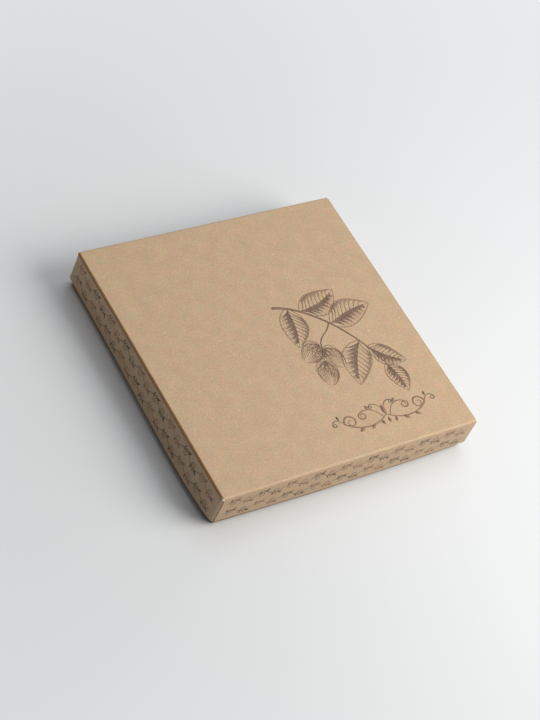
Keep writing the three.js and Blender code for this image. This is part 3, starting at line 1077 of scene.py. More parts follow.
# %% [markdown]
# Under the sprig a plain scrolled flourish fills the band down to the front fold: two mirrored scrolls in
# russet, with smaller ones in the dark ink. A pen gives such a scroll a stroke that swells in the bends and
# runs out thin. It is drawn about its own centre, one half listed and the other as its mirror image.

# %% Draw the flourish
FLOURISH_CENTRE = (40.5, -75.5)
PETAL_STEPS = 8


def scroll(corners, centre, radius, end_radius, turns, weight):
    """A curve that runs into a spiral: the curve's last corner meets the spiral's start."""
    line = curve_points(corners, 24)
    start = cmath.phase(line[-1] - centre)
    for t in steps(0, 1, max(12, round(abs(turns) * 28)))[1:]:
        line.append(centre + cmath.rect(radius + (end_radius - radius) * t, start + turns * math.tau * t))
    return tapered(line, 1.4, 2.6, 0.9, weight)


def petal(base, degrees, length, weight):
    along = cmath.rect(length, math.radians(degrees))
    return [
        (base + along * t, weight * (0.08 + math.sin(math.pi * t) ** 1.2))
        for t in steps(0, 1, PETAL_STEPS)
    ]


def mirrored(strokes):
    return [[(-spot.conjugate(), half) for spot, half in line] for line in strokes] + strokes


russet_strokes = mirrored([
    scroll(((0, -2), (9, -9.5), (24, -9.5), (33.2, -1)), 28 - 0.6j, 5.2, 1.1, 1.35, 0.26),
    scroll(((3, -3.6), (6, 4.5), (14, 8), (20.4, 2.2)), 17.4 + 1.4j, 3.1, 0.7, -1.3, 0.23),
    petal(11.5 - 6.6j, -38, 5.6, 1.15),
    petal(21 - 7.6j, -20, 5.0, 1.05),
    petal(10 + 4.3j, 62, 4.6, 1.0),
]) + [petal(-3.2j, 90, 9.0, 1.5)]
dark_strokes = mirrored([
    scroll(((33.2, -1), (36, 4.5), (40.5, 4.5), (42, 0.6)), 40.2 + 0.3j, 1.8, 0.5, -1.1, 0.17),
    scroll(((0, 1.5), (2.5, 7.5), (7, 9.5), (9.4, 6.6)), 8.1 + 6.2j, 1.4, 0.5, -0.9, 0.17),
    petal(35.5 + 2.6j, 78, 4.2, 0.8),
    petal(6.2 - 5.4j, -112, 4.4, 0.9),
]) + [petal(-9.2j, 90, 4.6, 0.9)]
flourish = print_on_top("printed_flourish", russet_strokes, russet_ink, *FLOURISH_CENTRE)
accents = print_on_top("printed_flourish_accents", dark_strokes, dark_ink, *FLOURISH_CENTRE)
print("flourish", len(flourish.data.polygons) + len(accents.data.polygons), "faces")

# %% [markdown]
# ## Vines round the walls
# Two rows of a running vine go round the lid's walls, alternately in two of the inks. A vine repeats: each
# unit is one wave of the stem, with a curl inside each bend, and a leaf, a bud and a berry outside it that
# all lean the way the vine grows. That is a rule, so Geometry Nodes draw one unit from a few named sizes
# and set it along the row, and the same tree serves every wall.

# %% The vine, as Geometry Nodes
LENS_POINTS = 8
STEM_POINTS = 25
STEM_SHARE = 0.998


def along_spline(tree):
    return tree.add("GeometryNodeSplineParameter")["Factor"]


def weighted(tree, line, radius):
    return tree.out("GeometryNodeSetCurveRadius", {"Curve": line, "Radius": radius})


def lifted_line(tree, length, count, lift):
    """A line from the origin along x, in a number of points that are each lifted in y."""
    line = tree.out("GeometryNodeCurvePrimitiveLine", {"End": tree.xyz(length)})
    line = tree.out("GeometryNodeResampleCurve", {"Curve": line, "Count": count})
    return tree.out("GeometryNodeSetPosition", {"Geometry": line, "Offset": tree.xyz(0.0, lift)})


def lens(tree, length, weight, bow):
    """A leaf-shaped line: wide in the middle, thin at both ends."""
    swell = tree.math("SINE", tree.times(along_spline(tree), math.pi))
    line = lifted_line(tree, length, LENS_POINTS, tree.times(swell, length, bow))
    return weighted(tree, line, tree.times(tree.plus(swell, 0.08), tree.times(length, weight)))


def vine_stem(tree, pitch, wave, stroke):
    """One wave of the stem, a hair shorter than the unit, so that no two stems share an edge."""
    lift = tree.times(tree.math("SINE", tree.times(along_spline(tree), math.tau)), wave)
    swell = tree.ramp(tree.math("ABSOLUTE", lift), 0.0, wave, 0.72, 1.25)
    line = lifted_line(tree, tree.times(pitch, STEM_SHARE), STEM_POINTS, lift)
    return weighted(tree, line, tree.times(swell, stroke))


def vine_curl(tree, radius, stroke):
    """A spiral that leaves the stem at the top of a bend and winds in."""
    values = {"Resolution": 20, "Rotations": 1.35, "Height": 0.0, "Reverse": True}
    values.update({"Start Radius": radius, "End Radius": tree.times(radius, 0.22)})
    taper = tree.times(tree.ramp(along_spline(tree), 0.0, 1.0, 1.0, 0.6), stroke)
    return weighted(tree, tree.out("GeometryNodeCurveSpiral", values), taper)


def moved(tree, shape, x, y, degrees=0.0, mirror=1):
    values = {"Geometry": shape, "Translation": tree.xyz(x, y), "Rotation": (0, 0, math.radians(degrees))}
    return tree.out("GeometryNodeTransform", {**values, "Scale": (1, mirror, 1)})


def joined(tree, shapes):
    node = tree.data.nodes.new("GeometryNodeJoinGeometry")
    for shape in shapes:
        tree.join(shape, node.inputs[0])
    return node.outputs[0]


def make_vine_tree():
    sizes = ("Pitch", "Wave", "Stroke", "Leaf", "Flatness")
    inputs = {"Row": "Geometry", "Units": "Int", **dict.fromkeys(sizes, "Float")}
    inputs.update({"First Ink": "Material", "Second Ink": "Material"})
    tree, start, end = new_group("running_vine", "GeometryNodeTree", inputs, {"Print": "Geometry"})
    pitch, wave, stroke, leaf, flatness = (start[size] for size in sizes)
    curl_radius = tree.times(wave, 1.12)
    bend = joined(tree, (
        moved(tree, vine_curl(tree, curl_radius, stroke), 0.0, tree.minus(wave, curl_radius), 90),
        moved(tree, lens(tree, leaf, 0.17, -0.12), tree.times(pitch, 0.02), wave, 26),
        moved(
            tree, lens(tree, tree.times(leaf, 0.66), 0.19, 0.12),
            tree.times(pitch, -0.125), tree.times(wave, 0.70), 68,
        ),
        moved(
            tree, lens(tree, tree.times(leaf, 0.26), 0.46, 0.0),
            tree.times(pitch, -0.02), tree.times(wave, 1.55), 20,
        ),
    ))
    unit = joined(tree, (
        vine_stem(tree, pitch, wave, stroke),
        moved(tree, bend, tree.times(pitch, 0.25), 0.0),
        moved(tree, bend, tree.times(pitch, 0.75), 0.0, 0.0, -1),
    ))
    row = tree.out("GeometryNodeMeshLine", {"Count": start["Units"], "Offset": tree.xyz(pitch)})
    values = {"Points": row, "Instance": ribbon(tree, unit, flatness)}
    units = tree.out("GeometryNodeInstanceOnPoints", values)
    odd = tree.math("MODULO", tree.out("GeometryNodeInputIndex"), 2.0)
    values = {"Geometry": units, "Name": "odd_unit", "Value": odd}
    marked = tree.out("GeometryNodeStoreNamedAttribute", values, data_type="FLOAT", domain="INSTANCE")
    inked = tree.dressed(marked, start["First Ink"])
    odd = tree.out("GeometryNodeInputNamedAttribute", {"Name": "odd_unit"}, data_type="FLOAT")
    values = {"Geometry": inked, "Material": start["Second Ink"]}
    values["Selection"] = tree.math("GREATER_THAN", odd, 0.5)
    return tree.close(end, tree.out("GeometryNodeSetMaterial", values))


vine_tree = make_vine_tree()
print("vine tree", len(vine_tree.nodes), "nodes")

# %% [markdown]
# A row is made flat, nine units long, and then laid on each wall in turn: its length runs along the wall,
# its height up the wall and its thickness outwards.

# %% Lay the vines on the four walls
VINE_UNITS = 9
VINE_PITCH = 21.5 * MM
VINE_INKS = (russet_ink, dark_ink)
# Each row's height on the wall, wave, stroke and leaf in millimetres, and its two inks
VINE_ROWS = (
    (23.2, 2.3, 0.34, 4.9, russet_ink, dark_ink),
    (12.5, 2.1, 0.32, 4.6, dark_ink, russet_ink),
)
# The walls in order, each a quarter turn on from the last
WALLS = ("front", "right", "back", "left")


def lay_vines(quarter, wall):
    """Both rows on one wall, as one print."""
    shape = bmesh.new()
    start = -VINE_UNITS * VINE_PITCH / 2
    turn = Matrix.Rotation(quarter * math.pi / 2, 3, "Z")
    for height, wave, stroke, leaf, first, second in VINE_ROWS:
        values = {"Units": VINE_UNITS, "Pitch": VINE_PITCH, "Flatness": INK_FLATNESS}
        values.update({"Wave": wave * MM, "Stroke": stroke * MM, "Leaf": leaf * MM})
        row = run_tree(vine_tree, {**values, "First Ink": first, "Second Ink": second})
        for polygon in row.polygons:
            polygon.material_index = VINE_INKS.index(row.materials[polygon.material_index])
        corner = Vector((start, -LID_SIDE / 2, height * MM))
        warped(row, lambda spot: turn @ (corner + Vector((spot.x, -spot.z, spot.y))))
        shape.from_mesh(row)
        bpy.data.meshes.remove(row)
    return lay_print("printed_vine_" + wall, to_mesh(shape, wall, VINE_INKS), Vector.copy)


vines = [lay_vines(quarter, wall) for quarter, wall in enumerate(WALLS)]
print("vines", [len(vine.data.polygons) for vine in vines], "faces")

# %% [markdown]
# ## Inside: the divider grid
# Four strips slotted from the top and four from the bottom lock into twenty-five cells. The CAD strips
# already have their slots and the right thickness, so they stay as they are and only get a finish: a plain
# darker kraft card, which has no UV map of its own, so its fibres are placed by Object coordinates.

# %% Divider card
DIVIDER_CARD = (0.400, 0.262, 0.155, 1)


def make_divider_card():
    tree = Finish("divider_card")
    fibres = tree.shared(kraft_fibres, {"Place": tree.place(), "Board Colour": DIVIDER_CARD})
    return tree.done(fibres["Colour"], fibres["Roughness"], 0.25, (fibres["Height"], 0.35, 0.05 * MM))


divider_card = make_divider_card()
dividers = [name for name in frame["nodes"] if "divider" in name]
for name in dividers:
    strip = frame["nodes"][name].data
    strip.materials.clear()
    strip.materials.append(divider_card)
print("dividers", sorted(dividers))

# %% [markdown]
# ## Paper cups
# Each chocolate sits in a cup of thin greaseproof paper, pressed into fine pleats that open towards the
# rim. The pleats follow a rule: going round the cup the wall swings in and out, hardly at the floor and
# fully at the rim. So Geometry Nodes bend a plain grid into the cup: one way of the grid goes round it, the
# other from the middle of the floor to the rim.

# %% The pleated cup, as Geometry Nodes
FLOOR_SHARE = 0.25
CUP_PAPER = ((0.70, 0.62, 0.48, 1), (0.84, 0.77, 0.64, 1))


def make_cup_tree():
    sizes = ("Pleats", "Floor Radius", "Mouth Radius", "Height", "Pleat Depth", "Crumple", "Seed")
    inputs = {"Cup": "Geometry", "Around": "Int", "Up": "Int", **dict.fromkeys(sizes, "Float")}
    inputs["Paper"] = "Material"
    tree, start, end = new_group("pleated_cup", "GeometryNodeTree", inputs, {"Cup": "Geometry"})
    pleats, floor_radius, mouth_radius, height, depth, crumple, seed = (start[size] for size in sizes)
    values = {"Size X": 1.0, "Size Y": 1.0, "Vertices X": start["Around"], "Vertices Y": start["Up"]}
    grid = tree.add("GeometryNodeMeshGrid", values)["Mesh"]
    spot = tree.add("ShaderNodeSeparateXYZ", {0: tree.out("GeometryNodeInputPosition")})
    angle = tree.times(spot[0], -math.tau)
    cosine = tree.math("COSINE", angle)
    sine = tree.math("SINE", angle)
    path = tree.plus(spot[1], 0.5)
    up_wall = tree.ramp(path, FLOOR_SHARE, 1.0)
    reach = tree.times(tree.ramp(path, 0.0, FLOOR_SHARE), floor_radius)
    flare = tree.times(tree.math("POWER", up_wall, 1.25), tree.minus(mouth_radius, floor_radius))
    swing = tree.math("SINE", tree.times(angle, pleats))
    pleat = tree.times(swing, tree.times(tree.math("POWER", up_wall, 0.6), depth))
    dent = tree.noise(tree.xyz(cosine, sine, tree.plus(up_wall, seed)), 2.2, 2.0)
    slack = tree.times(tree.minus(dent, 0.5), tree.times(crumple, up_wall))
    for part in (flare, pleat, slack):
        reach = tree.plus(reach, part)
    rise = tree.plus(tree.times(up_wall, height), tree.times(slack, 0.5))
    place = tree.xyz(tree.times(cosine, reach), tree.times(sine, reach), rise)
    bent = tree.out("GeometryNodeSetPosition", {"Geometry": grid, "Position": place})
    closed = tree.out("GeometryNodeMergeByDistance", {"Geometry": bent, "Distance": 0.01 * MM})
    return tree.close(end, tree.dressed(closed, start["Paper"]))


def make_cup_paper():
    tree = Finish("cup_paper")
    pulp = tree.noise(tree.place(), 420.0, 4.0)
    colour = tree.blend(tree.ramp(pulp, 0.3, 0.7), *CUP_PAPER)
    return tree.done(colour, tree.ramp(pulp, 0.3, 0.7, 0.48, 0.66), 0.35, (pulp, 0.25, 0.06 * MM))


cup_tree = make_cup_tree()
cup_paper = make_cup_paper()
print("cup tree", len(cup_tree.nodes), "nodes")

# %% [markdown]
# Each CAD cup gives the size and the seat of its paper one. The tree runs once for each cup, with a seed of
# its own for the dents, and every cup is turned a little, so that no two stand alike.

# %% Make and seat the cups
CUP_PLEATS = 42
CUP_STEPS_PER_PLEAT = 4
CUP_ROWS = 11
CUP_SHEET = 0.14 * MM
CUP_FLOOR = 0.76
CUP_PLEAT_DEPTH = 0.55 * MM
CUP_CRUMPLE = 1.1 * MM
CUP_LIFT = 0.5 * MM
CUP_TURN = 1.3
CUP_SEED_STEP = 3.7

Seat = collections.namedtuple("Seat", "middle wide deep foot height")


def seat_of(node):
    """Where a node stands: its middle, half width, half depth, foot and height."""
    low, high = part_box(node)
    middle = Vector(((low.x + high.x) / 2, (low.y + high.y) / 2, 0))
    return Seat(middle, (high.x - low.x) / 2, (high.y - low.y) / 2, low.z, high.z - low.z)


def seat_cup(node, seed):
    seat = seat_of(node)
    values = {
        "Around": CUP_PLEATS * CUP_STEPS_PER_PLEAT + 1,
        "Up": CUP_ROWS,
        "Pleats": float(CUP_PLEATS),
        "Floor Radius": seat.wide * CUP_FLOOR,
        "Mouth Radius": seat.wide - CUP_PLEAT_DEPTH,
        "Height": seat.height - CUP_SHEET - CUP_CRUMPLE / 4,
        "Pleat Depth": CUP_PLEAT_DEPTH,
        "Crumple": CUP_CRUMPLE,
        "Seed": seed * CUP_SEED_STEP,
        "Paper": cup_paper,
    }
    solid = thickened(run_tree(cup_tree, values), CUP_SHEET, offset=0)
    foot = Vector((seat.middle.x, seat.middle.y, seat.foot + CUP_LIFT))
    solid.transform(Matrix.Translation(foot) @ Matrix.Rotation(seed * CUP_TURN, 4, "Z"))
    solid.shade_smooth()
    return make_piece("pleated_" + node, solid, node)


cups = [seat_cup(node, seed) for seed, node in enumerate(kind_nodes("paper_cup"))]
print("cups", len(cups), "of", len(cups[0].data.polygons), "faces")

# %% [markdown]
# ## Chocolate
# Moulded chocolate is glossy because the mould was polished and the cocoa butter set in small even
# crystals. It still shows faint cloudy streaks, and tiny pits where air was caught. The same group serves
# the dark, milk, nut and white chocolate, with a colour and a streak colour for each.

# %% Chocolate finishes
CHOCOLATES = {
    "dark_chocolate": ((0.050, 0.021, 0.011, 1), (0.078, 0.036, 0.020, 1)),
    "milk_chocolate": ((0.190, 0.082, 0.036, 1), (0.245, 0.115, 0.055, 1)),
    "nut_chocolate": ((0.135, 0.056, 0.024, 1), (0.185, 0.082, 0.038, 1)),
    "white_chocolate": ((0.830, 0.700, 0.460, 1), (0.880, 0.780, 0.570, 1)),
}


def make_temper_group():
    inputs = {"Place": "Vector", "Chocolate": "Color", "Streak": "Color"}
    tree, start, end = new_group("tempered_chocolate", "ShaderNodeTree", inputs, SHADE)
    place = start["Place"]
    clouds = tree.noise(tree.vector("MULTIPLY", place, (1.0, 1.0, 3.0)), 130.0, 4.0, Distortion=1.2)
    fine = tree.noise(place, 900.0, 2.0)
    pits = tree.spots(place, 420.0, (0.06, 0.16), (0.82, 0.86))
    cloudy = tree.ramp(clouds, 0.45, 0.75, 0.0, 0.75)
    streak = tree.math("ADD", cloudy, tree.ramp(fine, 0.5, 0.8, 0.0, 0.25), clamp=True)
    colour = tree.blend(streak, start["Chocolate"], start["Streak"])
    height = tree.minus(tree.times(clouds, 0.5), pits)
    rough = tree.plus(tree.ramp(clouds, 0.35, 0.75, 0.24, 0.42), tree.times(fine, 0.08))
    return tree.close(end, colour, height, rough)


def make_chocolate(name, chocolate, streak):
    tree = Finish(name)
    shade = tree.shared(tempered, {"Place": tree.place(), "Chocolate": chocolate, "Streak": streak})
    return tree.done(shade["Colour"], shade["Roughness"], 0.45, (shade["Height"], 0.35, 0.12 * MM))


tempered = make_temper_group()
dark_chocolate, milk_chocolate, nut_chocolate, white_chocolate = (
    make_chocolate(name, *colours) for name, colours in CHOCOLATES.items()
)
print("chocolates", list(CHOCOLATES))

# %% [markdown]
# Three finishes aren't glossy. A truffle is rolled in cocoa powder, which clings in clumps and leaves
# darker chocolate between them. A roasted hazelnut has a thin dark skin that has flaked off in places and
# shows the pale nut. Chopped nut is that pale inside, with a darker crumb here and there.

# %% Cocoa powder and roasted nut
COCOA = ((0.125, 0.052, 0.022, 1), (0.215, 0.100, 0.046, 1))
BARE_TRUFFLE = (0.052, 0.022, 0.012, 1)
NUT_SKIN = ((0.150, 0.060, 0.022, 1), (0.330, 0.160, 0.065, 1))
NUT_FLESH = ((0.560, 0.370, 0.190, 1), (0.700, 0.510, 0.300, 1))
NUT_CRUMB = ((0.600, 0.400, 0.215, 1), (0.740, 0.560, 0.350, 1))
DARK_CRUMB = (0.330, 0.165, 0.070, 1)


def make_cocoa_powder():
    tree = Finish("cocoa_powder")
    place = tree.place()
    clumps = tree.noise(place, 420.0, 5.0, Roughness=0.65)
    dust = tree.noise(place, 2600.0, 2.0)
    bare = tree.ramp(clumps, 0.30, 0.46, 1.0, 0.0)
    colour = tree.blend(bare, tree.blend(dust, *COCOA), BARE_TRUFFLE)
    height = tree.plus(clumps, tree.times(dust, 0.35))
    return tree.done(colour, tree.ramp(bare, 0.0, 1.0, 0.98, 0.80), 0.12, (height, 0.8, 0.5 * MM))


def make_roasted_nut():
    tree = Finish("roasted_nut")
    place = tree.place()
    streaks = tree.noise(tree.vector("MULTIPLY", place, (1.0, 1.0, 0.22)), 900.0, 3.0)
    bare = tree.ramp(tree.noise(place, 300.0, 4.0), 0.60, 0.68, 0.0, 0.85)
    colour = tree.blend(bare, tree.blend(streaks, *NUT_SKIN), tree.blend(streaks, *NUT_FLESH))
    height = tree.minus(tree.times(streaks, 0.6), tree.times(bare, 0.5))
    return tree.done(colour, tree.ramp(streaks, 0.2, 0.8, 0.42, 0.62), 0.4, (height, 0.5, 0.2 * MM))


def make_chopped_nut():
    tree = Finish("chopped_nut")
    place = tree.place()
    crumb = tree.noise(place, 700.0, 3.0)
    roasted = tree.ramp(tree.noise(place, 260.0, 1.0), 0.52, 0.60)
    colour = tree.blend(roasted, tree.blend(crumb, *NUT_CRUMB), DARK_CRUMB)
    return tree.done(colour, tree.ramp(crumb, 0.2, 0.8, 0.55, 0.75), 0.3, (crumb, 0.5, 0.15 * MM))


cocoa_powder = make_cocoa_powder()
roasted_nut = make_roasted_nut()
chopped_nut = make_chopped_nut()
print("finishes", cocoa_powder.name, roasted_nut.name, chopped_nut.name)

# %% [markdown]
# ## Moulded shapes
# Every moulded chocolate is a stack of rings: an outline that is scaled ring by ring as it rises, from a
# foot where the shell was scraped level, up steep sides, over a rounded edge, to the top. One function
# skins the stack, and each kind brings its own outline and profile.

# %% Skin a stack of rings
RING_POINTS = 90
SQUARE_POWER = 7.0
CHOCOLATE_SHARP = math.radians(55)


def loft(shape, rings, slot=0):
    """Skin closed rings from the lowest up, and close both ends with a fan."""
    loops = [[shape.verts.new(point) for point in ring] for ring in rings]
    after = [loop[1:] + loop[:1] for loop in loops]
    faces = []
    for low, low_after, high, high_after in zip(loops, after, loops[1:], after[1:]):
        faces += zip(low, low_after, high_after, high)
    for first, second in ((after[0], loops[0]), (loops[-1], after[-1])):
        middle = shape.verts.new(sum((vert.co for vert in first), Vector()) / len(first))
        faces += [(*pair, middle) for pair in zip(first, second)]
    for face in faces:
        shape.faces.new(face).material_index = slot


def stacked(outline, profile, middle, wide, deep, foot):
    """Rings of an outline: profile gives each ring's scale and height."""
    rings = []
    for scale, height in profile:
        ring = []
        for index in range(RING_POINTS):
            x, y = outline(math.tau * index / RING_POINTS, height)
            ring.append(Vector((middle.x + x * wide * scale, middle.y + y * deep * scale, foot + height)))
        rings.append(ring)
    return rings


def moulded(node, outline, profile):
    """A new shape of a node's size: its outline, skinned over its profile."""
    shape = bmesh.new()
    loft(shape, stacked(outline, profile, *seat_of(node)[:4]))
    return shape


def mould_profile(height, foot, waist, top):
    """Scales and heights of rings: a foot measured up, a waist, and a top measured down."""
    low = [(scale, rise * MM) for scale, rise in foot]
    return low + [(waist[0], height * waist[1])] + [(scale, height - drop * MM) for scale, drop in top]


def square_outline(angle, height):
    reach = abs(math.cos(angle)) ** SQUARE_POWER + abs(math.sin(angle)) ** SQUARE_POWER
    reach = reach ** (-1 / SQUARE_POWER)
    return reach * math.cos(angle), reach * math.sin(angle)


def round_outline(angle, height):
    return math.cos(angle), math.sin(angle)


def heart_outline(angle, height):
    x = 16 * math.sin(angle) ** 3
    y = 13 * math.cos(angle) - 5 * math.cos(2 * angle) - 2 * math.cos(3 * angle) - math.cos(4 * angle)
    return -x / 16, (y + 2.5) / 14.5


def join_mesh(shape, mesh, slot):
    """Add a mesh to a shape, in one of its material slots."""
    mesh.polygons.foreach_set("material_index", [slot] * len(mesh.polygons))
    shape.from_mesh(mesh)
    bpy.data.meshes.remove(mesh)


def finish_chocolate(node, shape, materials, turn):
    """Turn a shape into the piece that stands for its CAD node."""
    mesh = to_mesh(shape, node, materials)
    middle = seat_of(node).middle
    mesh.transform(Matrix.Translation(middle) @ Matrix.Rotation(turn, 4, "Z") @ Matrix.Translation(-middle))
    mesh.shade_smooth()
    mesh.set_sharp_from_angle(angle=CHOCOLATE_SHARP)
    return make_piece("moulded_" + node, mesh, node)


def make_kind(kind, make):
    """One chocolate for each CAD node of a kind, each with its own seeded draws."""
    pieces = [make(node, random.Random(index)) for index, node in enumerate(kind_nodes(kind))]
    print(kind, len(pieces), "of", len(pieces[0].data.polygons), "faces")


print("ring of", RING_POINTS, "points")

# %% [markdown]
# The dark squares are shells with a zigzag of milk chocolate, which a machine swings over them as they pass
# below. The zigzag is a path, so Geometry Nodes sweep a round bead along it. Each square gets its own
# seeded wobble.

# %% Dark squares with a milk zigzag
ZIGZAG_PASSES = 6
ZIGZAG_POINTS = 90
ZIGZAG_REACH = 0.66
ZIGZAG_SWING = 0.60
ZIGZAG_SQUASH = 0.8
BEAD = 0.62 * MM
BEAD_SIDES = 8
BEAD_RISE = 0.35
SQUARE_FOOT = ((0.965, 0.0), (0.995, 0.15), (1.0, 0.5), (1.0, 1.1), (0.972, 1.35))
SQUARE_WAIST = (0.95, 0.45)
SQUARE_TOP = ((0.925, 1.9), (0.905, 1.1), (0.87, 0.45), (0.82, 0.1), (0.76, 0.0), (0.5, 0.08), (0.22, 0.1))


def make_bead_tree():
    inputs = {"Lines": "Geometry", "Sides": "Int", "Chocolate": "Material"}
    tree, start, end = new_group("chocolate_bead", "GeometryNodeTree", inputs, {"Bead": "Geometry"})
    profile = tree.out("GeometryNodeCurvePrimitiveCircle", {"Resolution": start["Sides"], "Radius": 1.0})
    return tree.close(end, tree.dressed(sweep(tree, start["Lines"], profile), start["Chocolate"]))


def zigzag(seat, rng):
    line = []
    lean = cmath.rect(seat.wide, rng.uniform(0.5, 0.7))
    for t in steps(0, 1, ZIGZAG_POINTS):
        swing = math.sin(t * math.pi * ZIGZAG_PASSES + 0.4) * (ZIGZAG_SWING + rng.uniform(-0.02, 0.02))
        spot = lean * complex((t * 2 - 1) * ZIGZAG_REACH, swing * ZIGZAG_SQUASH)
        radius = BEAD * (0.85 + 0.25 * abs(math.sin(t * 37)))
        top = seat.foot + seat.height + radius * BEAD_RISE
        line.append(((seat.middle.x + spot.real, seat.middle.y + spot.imag, top), radius))
    return line


def dark_square(node, rng):
    seat = seat_of(node)
    profile = mould_profile(seat.height, SQUARE_FOOT, SQUARE_WAIST, SQUARE_TOP)
    shape = moulded(node, square_outline, profile)
    line = drawn_lines([zigzag(seat, rng)])
    join_mesh(shape, run_tree(bead_tree, {"Sides": BEAD_SIDES, "Chocolate": milk_chocolate}, line), 1)
    finishes = (dark_chocolate, milk_chocolate)
    return finish_chocolate(node, shape, finishes, rng.uniform(-0.06, 0.06))


bead_tree = make_bead_tree()
make_kind("dark_square", dark_square)

# %% [markdown]
# The milk domes come from a fluted mould: the outline swells and shrinks as it goes round, and the flutes
# twist as they rise and fade out at the foot and the crown.

# %% Milk domes
DOME_FLUTES = 9
DOME_TWIST = 1.1
DOME_FLUTE_DEPTH = 0.11
DOME_RINGS = 22
DOME_SPRING = 1.8 * MM
DOME_SCALE = 0.915
DOME_FOOT = ((0.975, 0.0), (0.998, 0.2), (1.0, 0.7), (0.995, 1.3), (0.965, 1.7))
CROWN = 88


def milk_dome(node, rng):
    rise = seat_of(node).height - DOME_SPRING

    def fluted(angle, height):
        part = clamped((height - DOME_SPRING) / rise)
        depth = DOME_FLUTE_DEPTH * math.sin(math.pi * part ** 0.6) ** 0.8 if part > 0 else 0.0
        reach = 1 - depth * (1 - abs(math.sin(DOME_FLUTES / 2 * (angle + DOME_TWIST * part))))
        return reach * math.cos(angle), reach * math.sin(angle)

    profile = [(scale, height * MM) for scale, height in DOME_FOOT]
    for degrees in steps(0, CROWN, DOME_RINGS - 1):
        angle = math.radians(degrees)
        profile.append((DOME_SCALE * math.cos(angle) ** 0.92, DOME_SPRING + rise * math.sin(angle)))
    shape = moulded(node, fluted, profile)
    return finish_chocolate(node, shape, (milk_chocolate,), rng.uniform(0, math.tau))


make_kind("milk_dome", milk_dome)

# %% [markdown]
# A truffle is rolled by hand, so no two are alike: a slightly flattened ball whose surface is pushed in and
# out by noise, large lumps first and then a crust. Each takes its noise from its own place in the box.

# %% Cocoa truffles
TRUFFLE_RINGS = 34
TRUFFLE_SEAT = -57.5
TRUFFLE_SCALE = 0.97
TRUFFLE_RISE = 0.98
TRUFFLE_MIDDLE = 0.45
TRUFFLE_FLAT = 0.3 * MM
LUMP = 0.55 * MM
LUMPS_PER_METRE = 150
CRUST = 0.16 * MM
CRUST_PER_METRE = 620


def cocoa_truffle(node, rng):
    seat = seat_of(node)
    low_sine = math.sin(math.radians(TRUFFLE_SEAT))
    profile = []
    for degrees in steps(TRUFFLE_SEAT, CROWN, TRUFFLE_RINGS - 1):
        angle = math.radians(degrees)
        part = (math.sin(angle) - low_sine) / (1 - low_sine)
        profile.append((TRUFFLE_SCALE * math.cos(angle), seat.height * TRUFFLE_RISE * part))
    shape = moulded(node, round_outline, profile)
    centre = Vector((seat.middle.x, seat.middle.y, seat.foot + seat.height * TRUFFLE_MIDDLE))
    for vert in shape.verts:
        if vert.co.z > seat.foot + TRUFFLE_FLAT:
            lumps = noise.noise(vert.co * LUMPS_PER_METRE) * LUMP
            crust = noise.noise(vert.co * CRUST_PER_METRE) * CRUST
            vert.co += (vert.co - centre).normalized() * (lumps + crust)
    return finish_chocolate(node, shape, (cocoa_powder,), rng.uniform(-0.3, 0.3))


make_kind("cocoa_truffle", cocoa_truffle)

# %% [markdown]
# The hazelnut rounds are scalloped discs with a whole roasted nut pressed into the middle and chopped nut
# scattered round it. Scattering is what Geometry Nodes do well: random places in a ring, a small angular
# crumb at each, turned and sized at random from a seed.

# %% Chopped nut, as Geometry Nodes
def make_crumb_tree():
    sizes = ("Inner Radius", "Outer Radius", "Crumb")
    inputs = {"Crumbs": "Geometry", "Count": "Int", "Seed": "Int", **dict.fromkeys(sizes, "Float")}
    inputs["Nut"] = "Material"
    tree, start, end = new_group("chopped_nut", "GeometryNodeTree", inputs, {"Crumbs": "Geometry"})
    inner, outer, crumb = (start[size] for size in sizes)

    def drawn(low, high, step):
        values = {2: low, 3: high, "Seed": tree.plus(start["Seed"], step)}
        return tree.add("FunctionNodeRandomValue", values, data_type="FLOAT")[1]

    angle = drawn(0.0, math.tau, 0.0)
    reach = drawn(inner, outer, 17.0)
    across = tree.times(tree.math("COSINE", angle), reach)
    deep = tree.times(tree.math("SINE", angle), reach)
    points = tree.out("GeometryNodePoints", {"Count": start["Count"]})
    place = tree.xyz(across, deep)
    values = {
        "Points": tree.out("GeometryNodeSetPosition", {"Geometry": points, "Position": place}),
        "Instance": tree.add("GeometryNodeMeshIcoSphere", {"Radius": crumb, "Subdivisions": 1})["Mesh"],
        "Rotation": tree.xyz(*(drawn(0.0, math.tau, step) for step in (29.0, 41.0, 53.0))),
        "Scale": tree.xyz(drawn(0.5, 1.3, 67.0), drawn(0.5, 1.1, 71.0), 0.7),
    }
    return tree.close(end, tree.dressed(tree.out("GeometryNodeInstanceOnPoints", values), start["Nut"]))


crumb_tree = make_crumb_tree()
print("crumb tree", len(crumb_tree.nodes), "nodes")

# %% [markdown]
# The disc and the nut are two stacks of rings in one shape, and the crumbs are dropped on the disc between
# them. Each part has a material slot of its own.

# %% Hazelnut rounds
NUT_RADIUS = 6 * MM
NUT_DEEP = 0.95
NUT_RINGS = 18
NUT_SEAT = 40
NUT_FOOT = 8.4 * MM
NUT_POINT = 0.07
CRUMBS = 34
CRUMB = 0.75 * MM
CRUMB_RISE = 9.75 * MM
CRUMB_RING = (1.05, 0.79)
SCALLOPS = 22
SCALLOP_DEPTH = 0.018
SCALLOP_RUN = 1.5 * MM
DISC_PROFILE = (
    (0.965, 0.0), (0.99, 0.2), (1.0, 0.6), (1.0, 4.0), (0.995, 7.4), (0.98, 8.6), (0.94, 9.5),
    (0.885, 9.95), (0.83, 10.0), (0.77, 9.75), (0.70, 9.55), (0.55, 9.5), (0.3, 9.5),
)


def scalloped(angle, height):
    reach = 1 - SCALLOP_DEPTH * (0.5 - 0.5 * math.cos(SCALLOPS * angle)) * min(1.0, height / SCALLOP_RUN)
    return reach * math.cos(angle), reach * math.sin(angle)


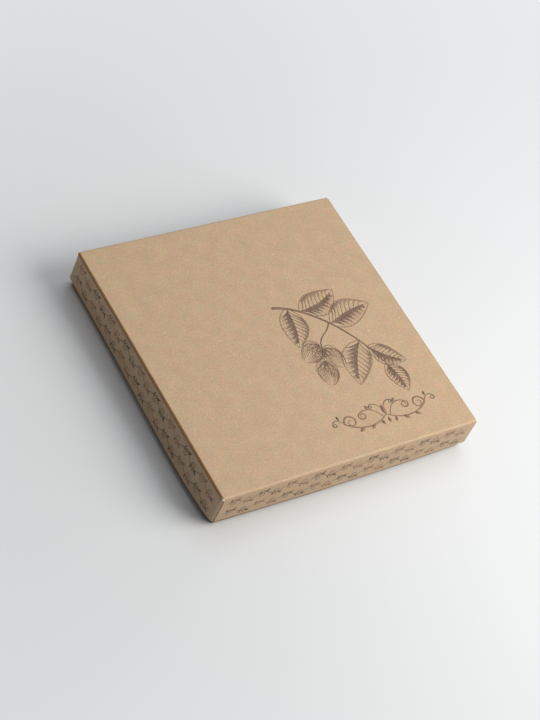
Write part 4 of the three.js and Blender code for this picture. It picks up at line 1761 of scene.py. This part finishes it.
def nut_rings(middle, low, high):
    """A hazelnut standing on its blunt end: a ball drawn up to a small point."""
    profile = []
    seat_sine = math.sin(math.radians(NUT_SEAT))
    for degrees in steps(-NUT_SEAT, CROWN, NUT_RINGS - 1):
        sine = math.sin(math.radians(degrees))
        pointed = max(0.0, sine) ** 5
        part = (sine + seat_sine) / (1 + seat_sine)
        scale = math.cos(math.radians(degrees)) * (1 - 0.10 * pointed)
        profile.append((scale, (high - low) * (part * (1 - NUT_POINT) + NUT_POINT * pointed)))
    return stacked(round_outline, profile, middle, NUT_RADIUS, NUT_RADIUS * NUT_DEEP, low)


def hazelnut_round(node, rng):
    seat = seat_of(node)
    shape = moulded(node, scalloped, [(scale, rise * MM) for scale, rise in DISC_PROFILE])
    loft(shape, nut_rings(seat.middle, seat.foot + NUT_FOOT, seat.foot + seat.height), 1)
    values = {"Count": CRUMBS, "Seed": rng.randrange(1000), "Crumb": CRUMB, "Nut": chopped_nut}
    inner, outer = CRUMB_RING
    values.update({"Inner Radius": NUT_RADIUS * inner, "Outer Radius": seat.wide * outer})
    crumbs = run_tree(crumb_tree, values)
    crumbs.transform(Matrix.Translation((seat.middle.x, seat.middle.y, seat.foot + CRUMB_RISE)))
    join_mesh(shape, crumbs, 2)
    finishes = (nut_chocolate, roasted_nut, chopped_nut)
    return finish_chocolate(node, shape, finishes, rng.uniform(0, math.tau))


make_kind("hazelnut_round", hazelnut_round)

# %% [markdown]
# The white hearts have a raised border and a cushioned middle, pressed by the mould. The outline is the
# usual heart curve, and each ring is that curve drawn in a little.

# %% White hearts
HEART_FOOT = ((0.965, 0.0), (0.992, 0.2), (1.0, 0.6), (1.0, 1.0), (0.97, 1.3))
HEART_WAIST = (0.955, 0.5)
HEART_TOP = (
    (0.935, 1.8), (0.915, 0.9), (0.885, 0.3), (0.845, 0.0), (0.80, 0.05), (0.765, 0.45), (0.735, 1.0),
    (0.70, 1.05), (0.64, 0.7), (0.52, 0.35), (0.36, 0.15), (0.16, 0.08),
)


def white_heart(node, rng):
    profile = mould_profile(seat_of(node).height, HEART_FOOT, HEART_WAIST, HEART_TOP)
    shape = moulded(node, heart_outline, profile)
    return finish_chocolate(node, shape, (white_chocolate,), rng.uniform(-0.10, 0.10))


make_kind("white_heart", white_heart)
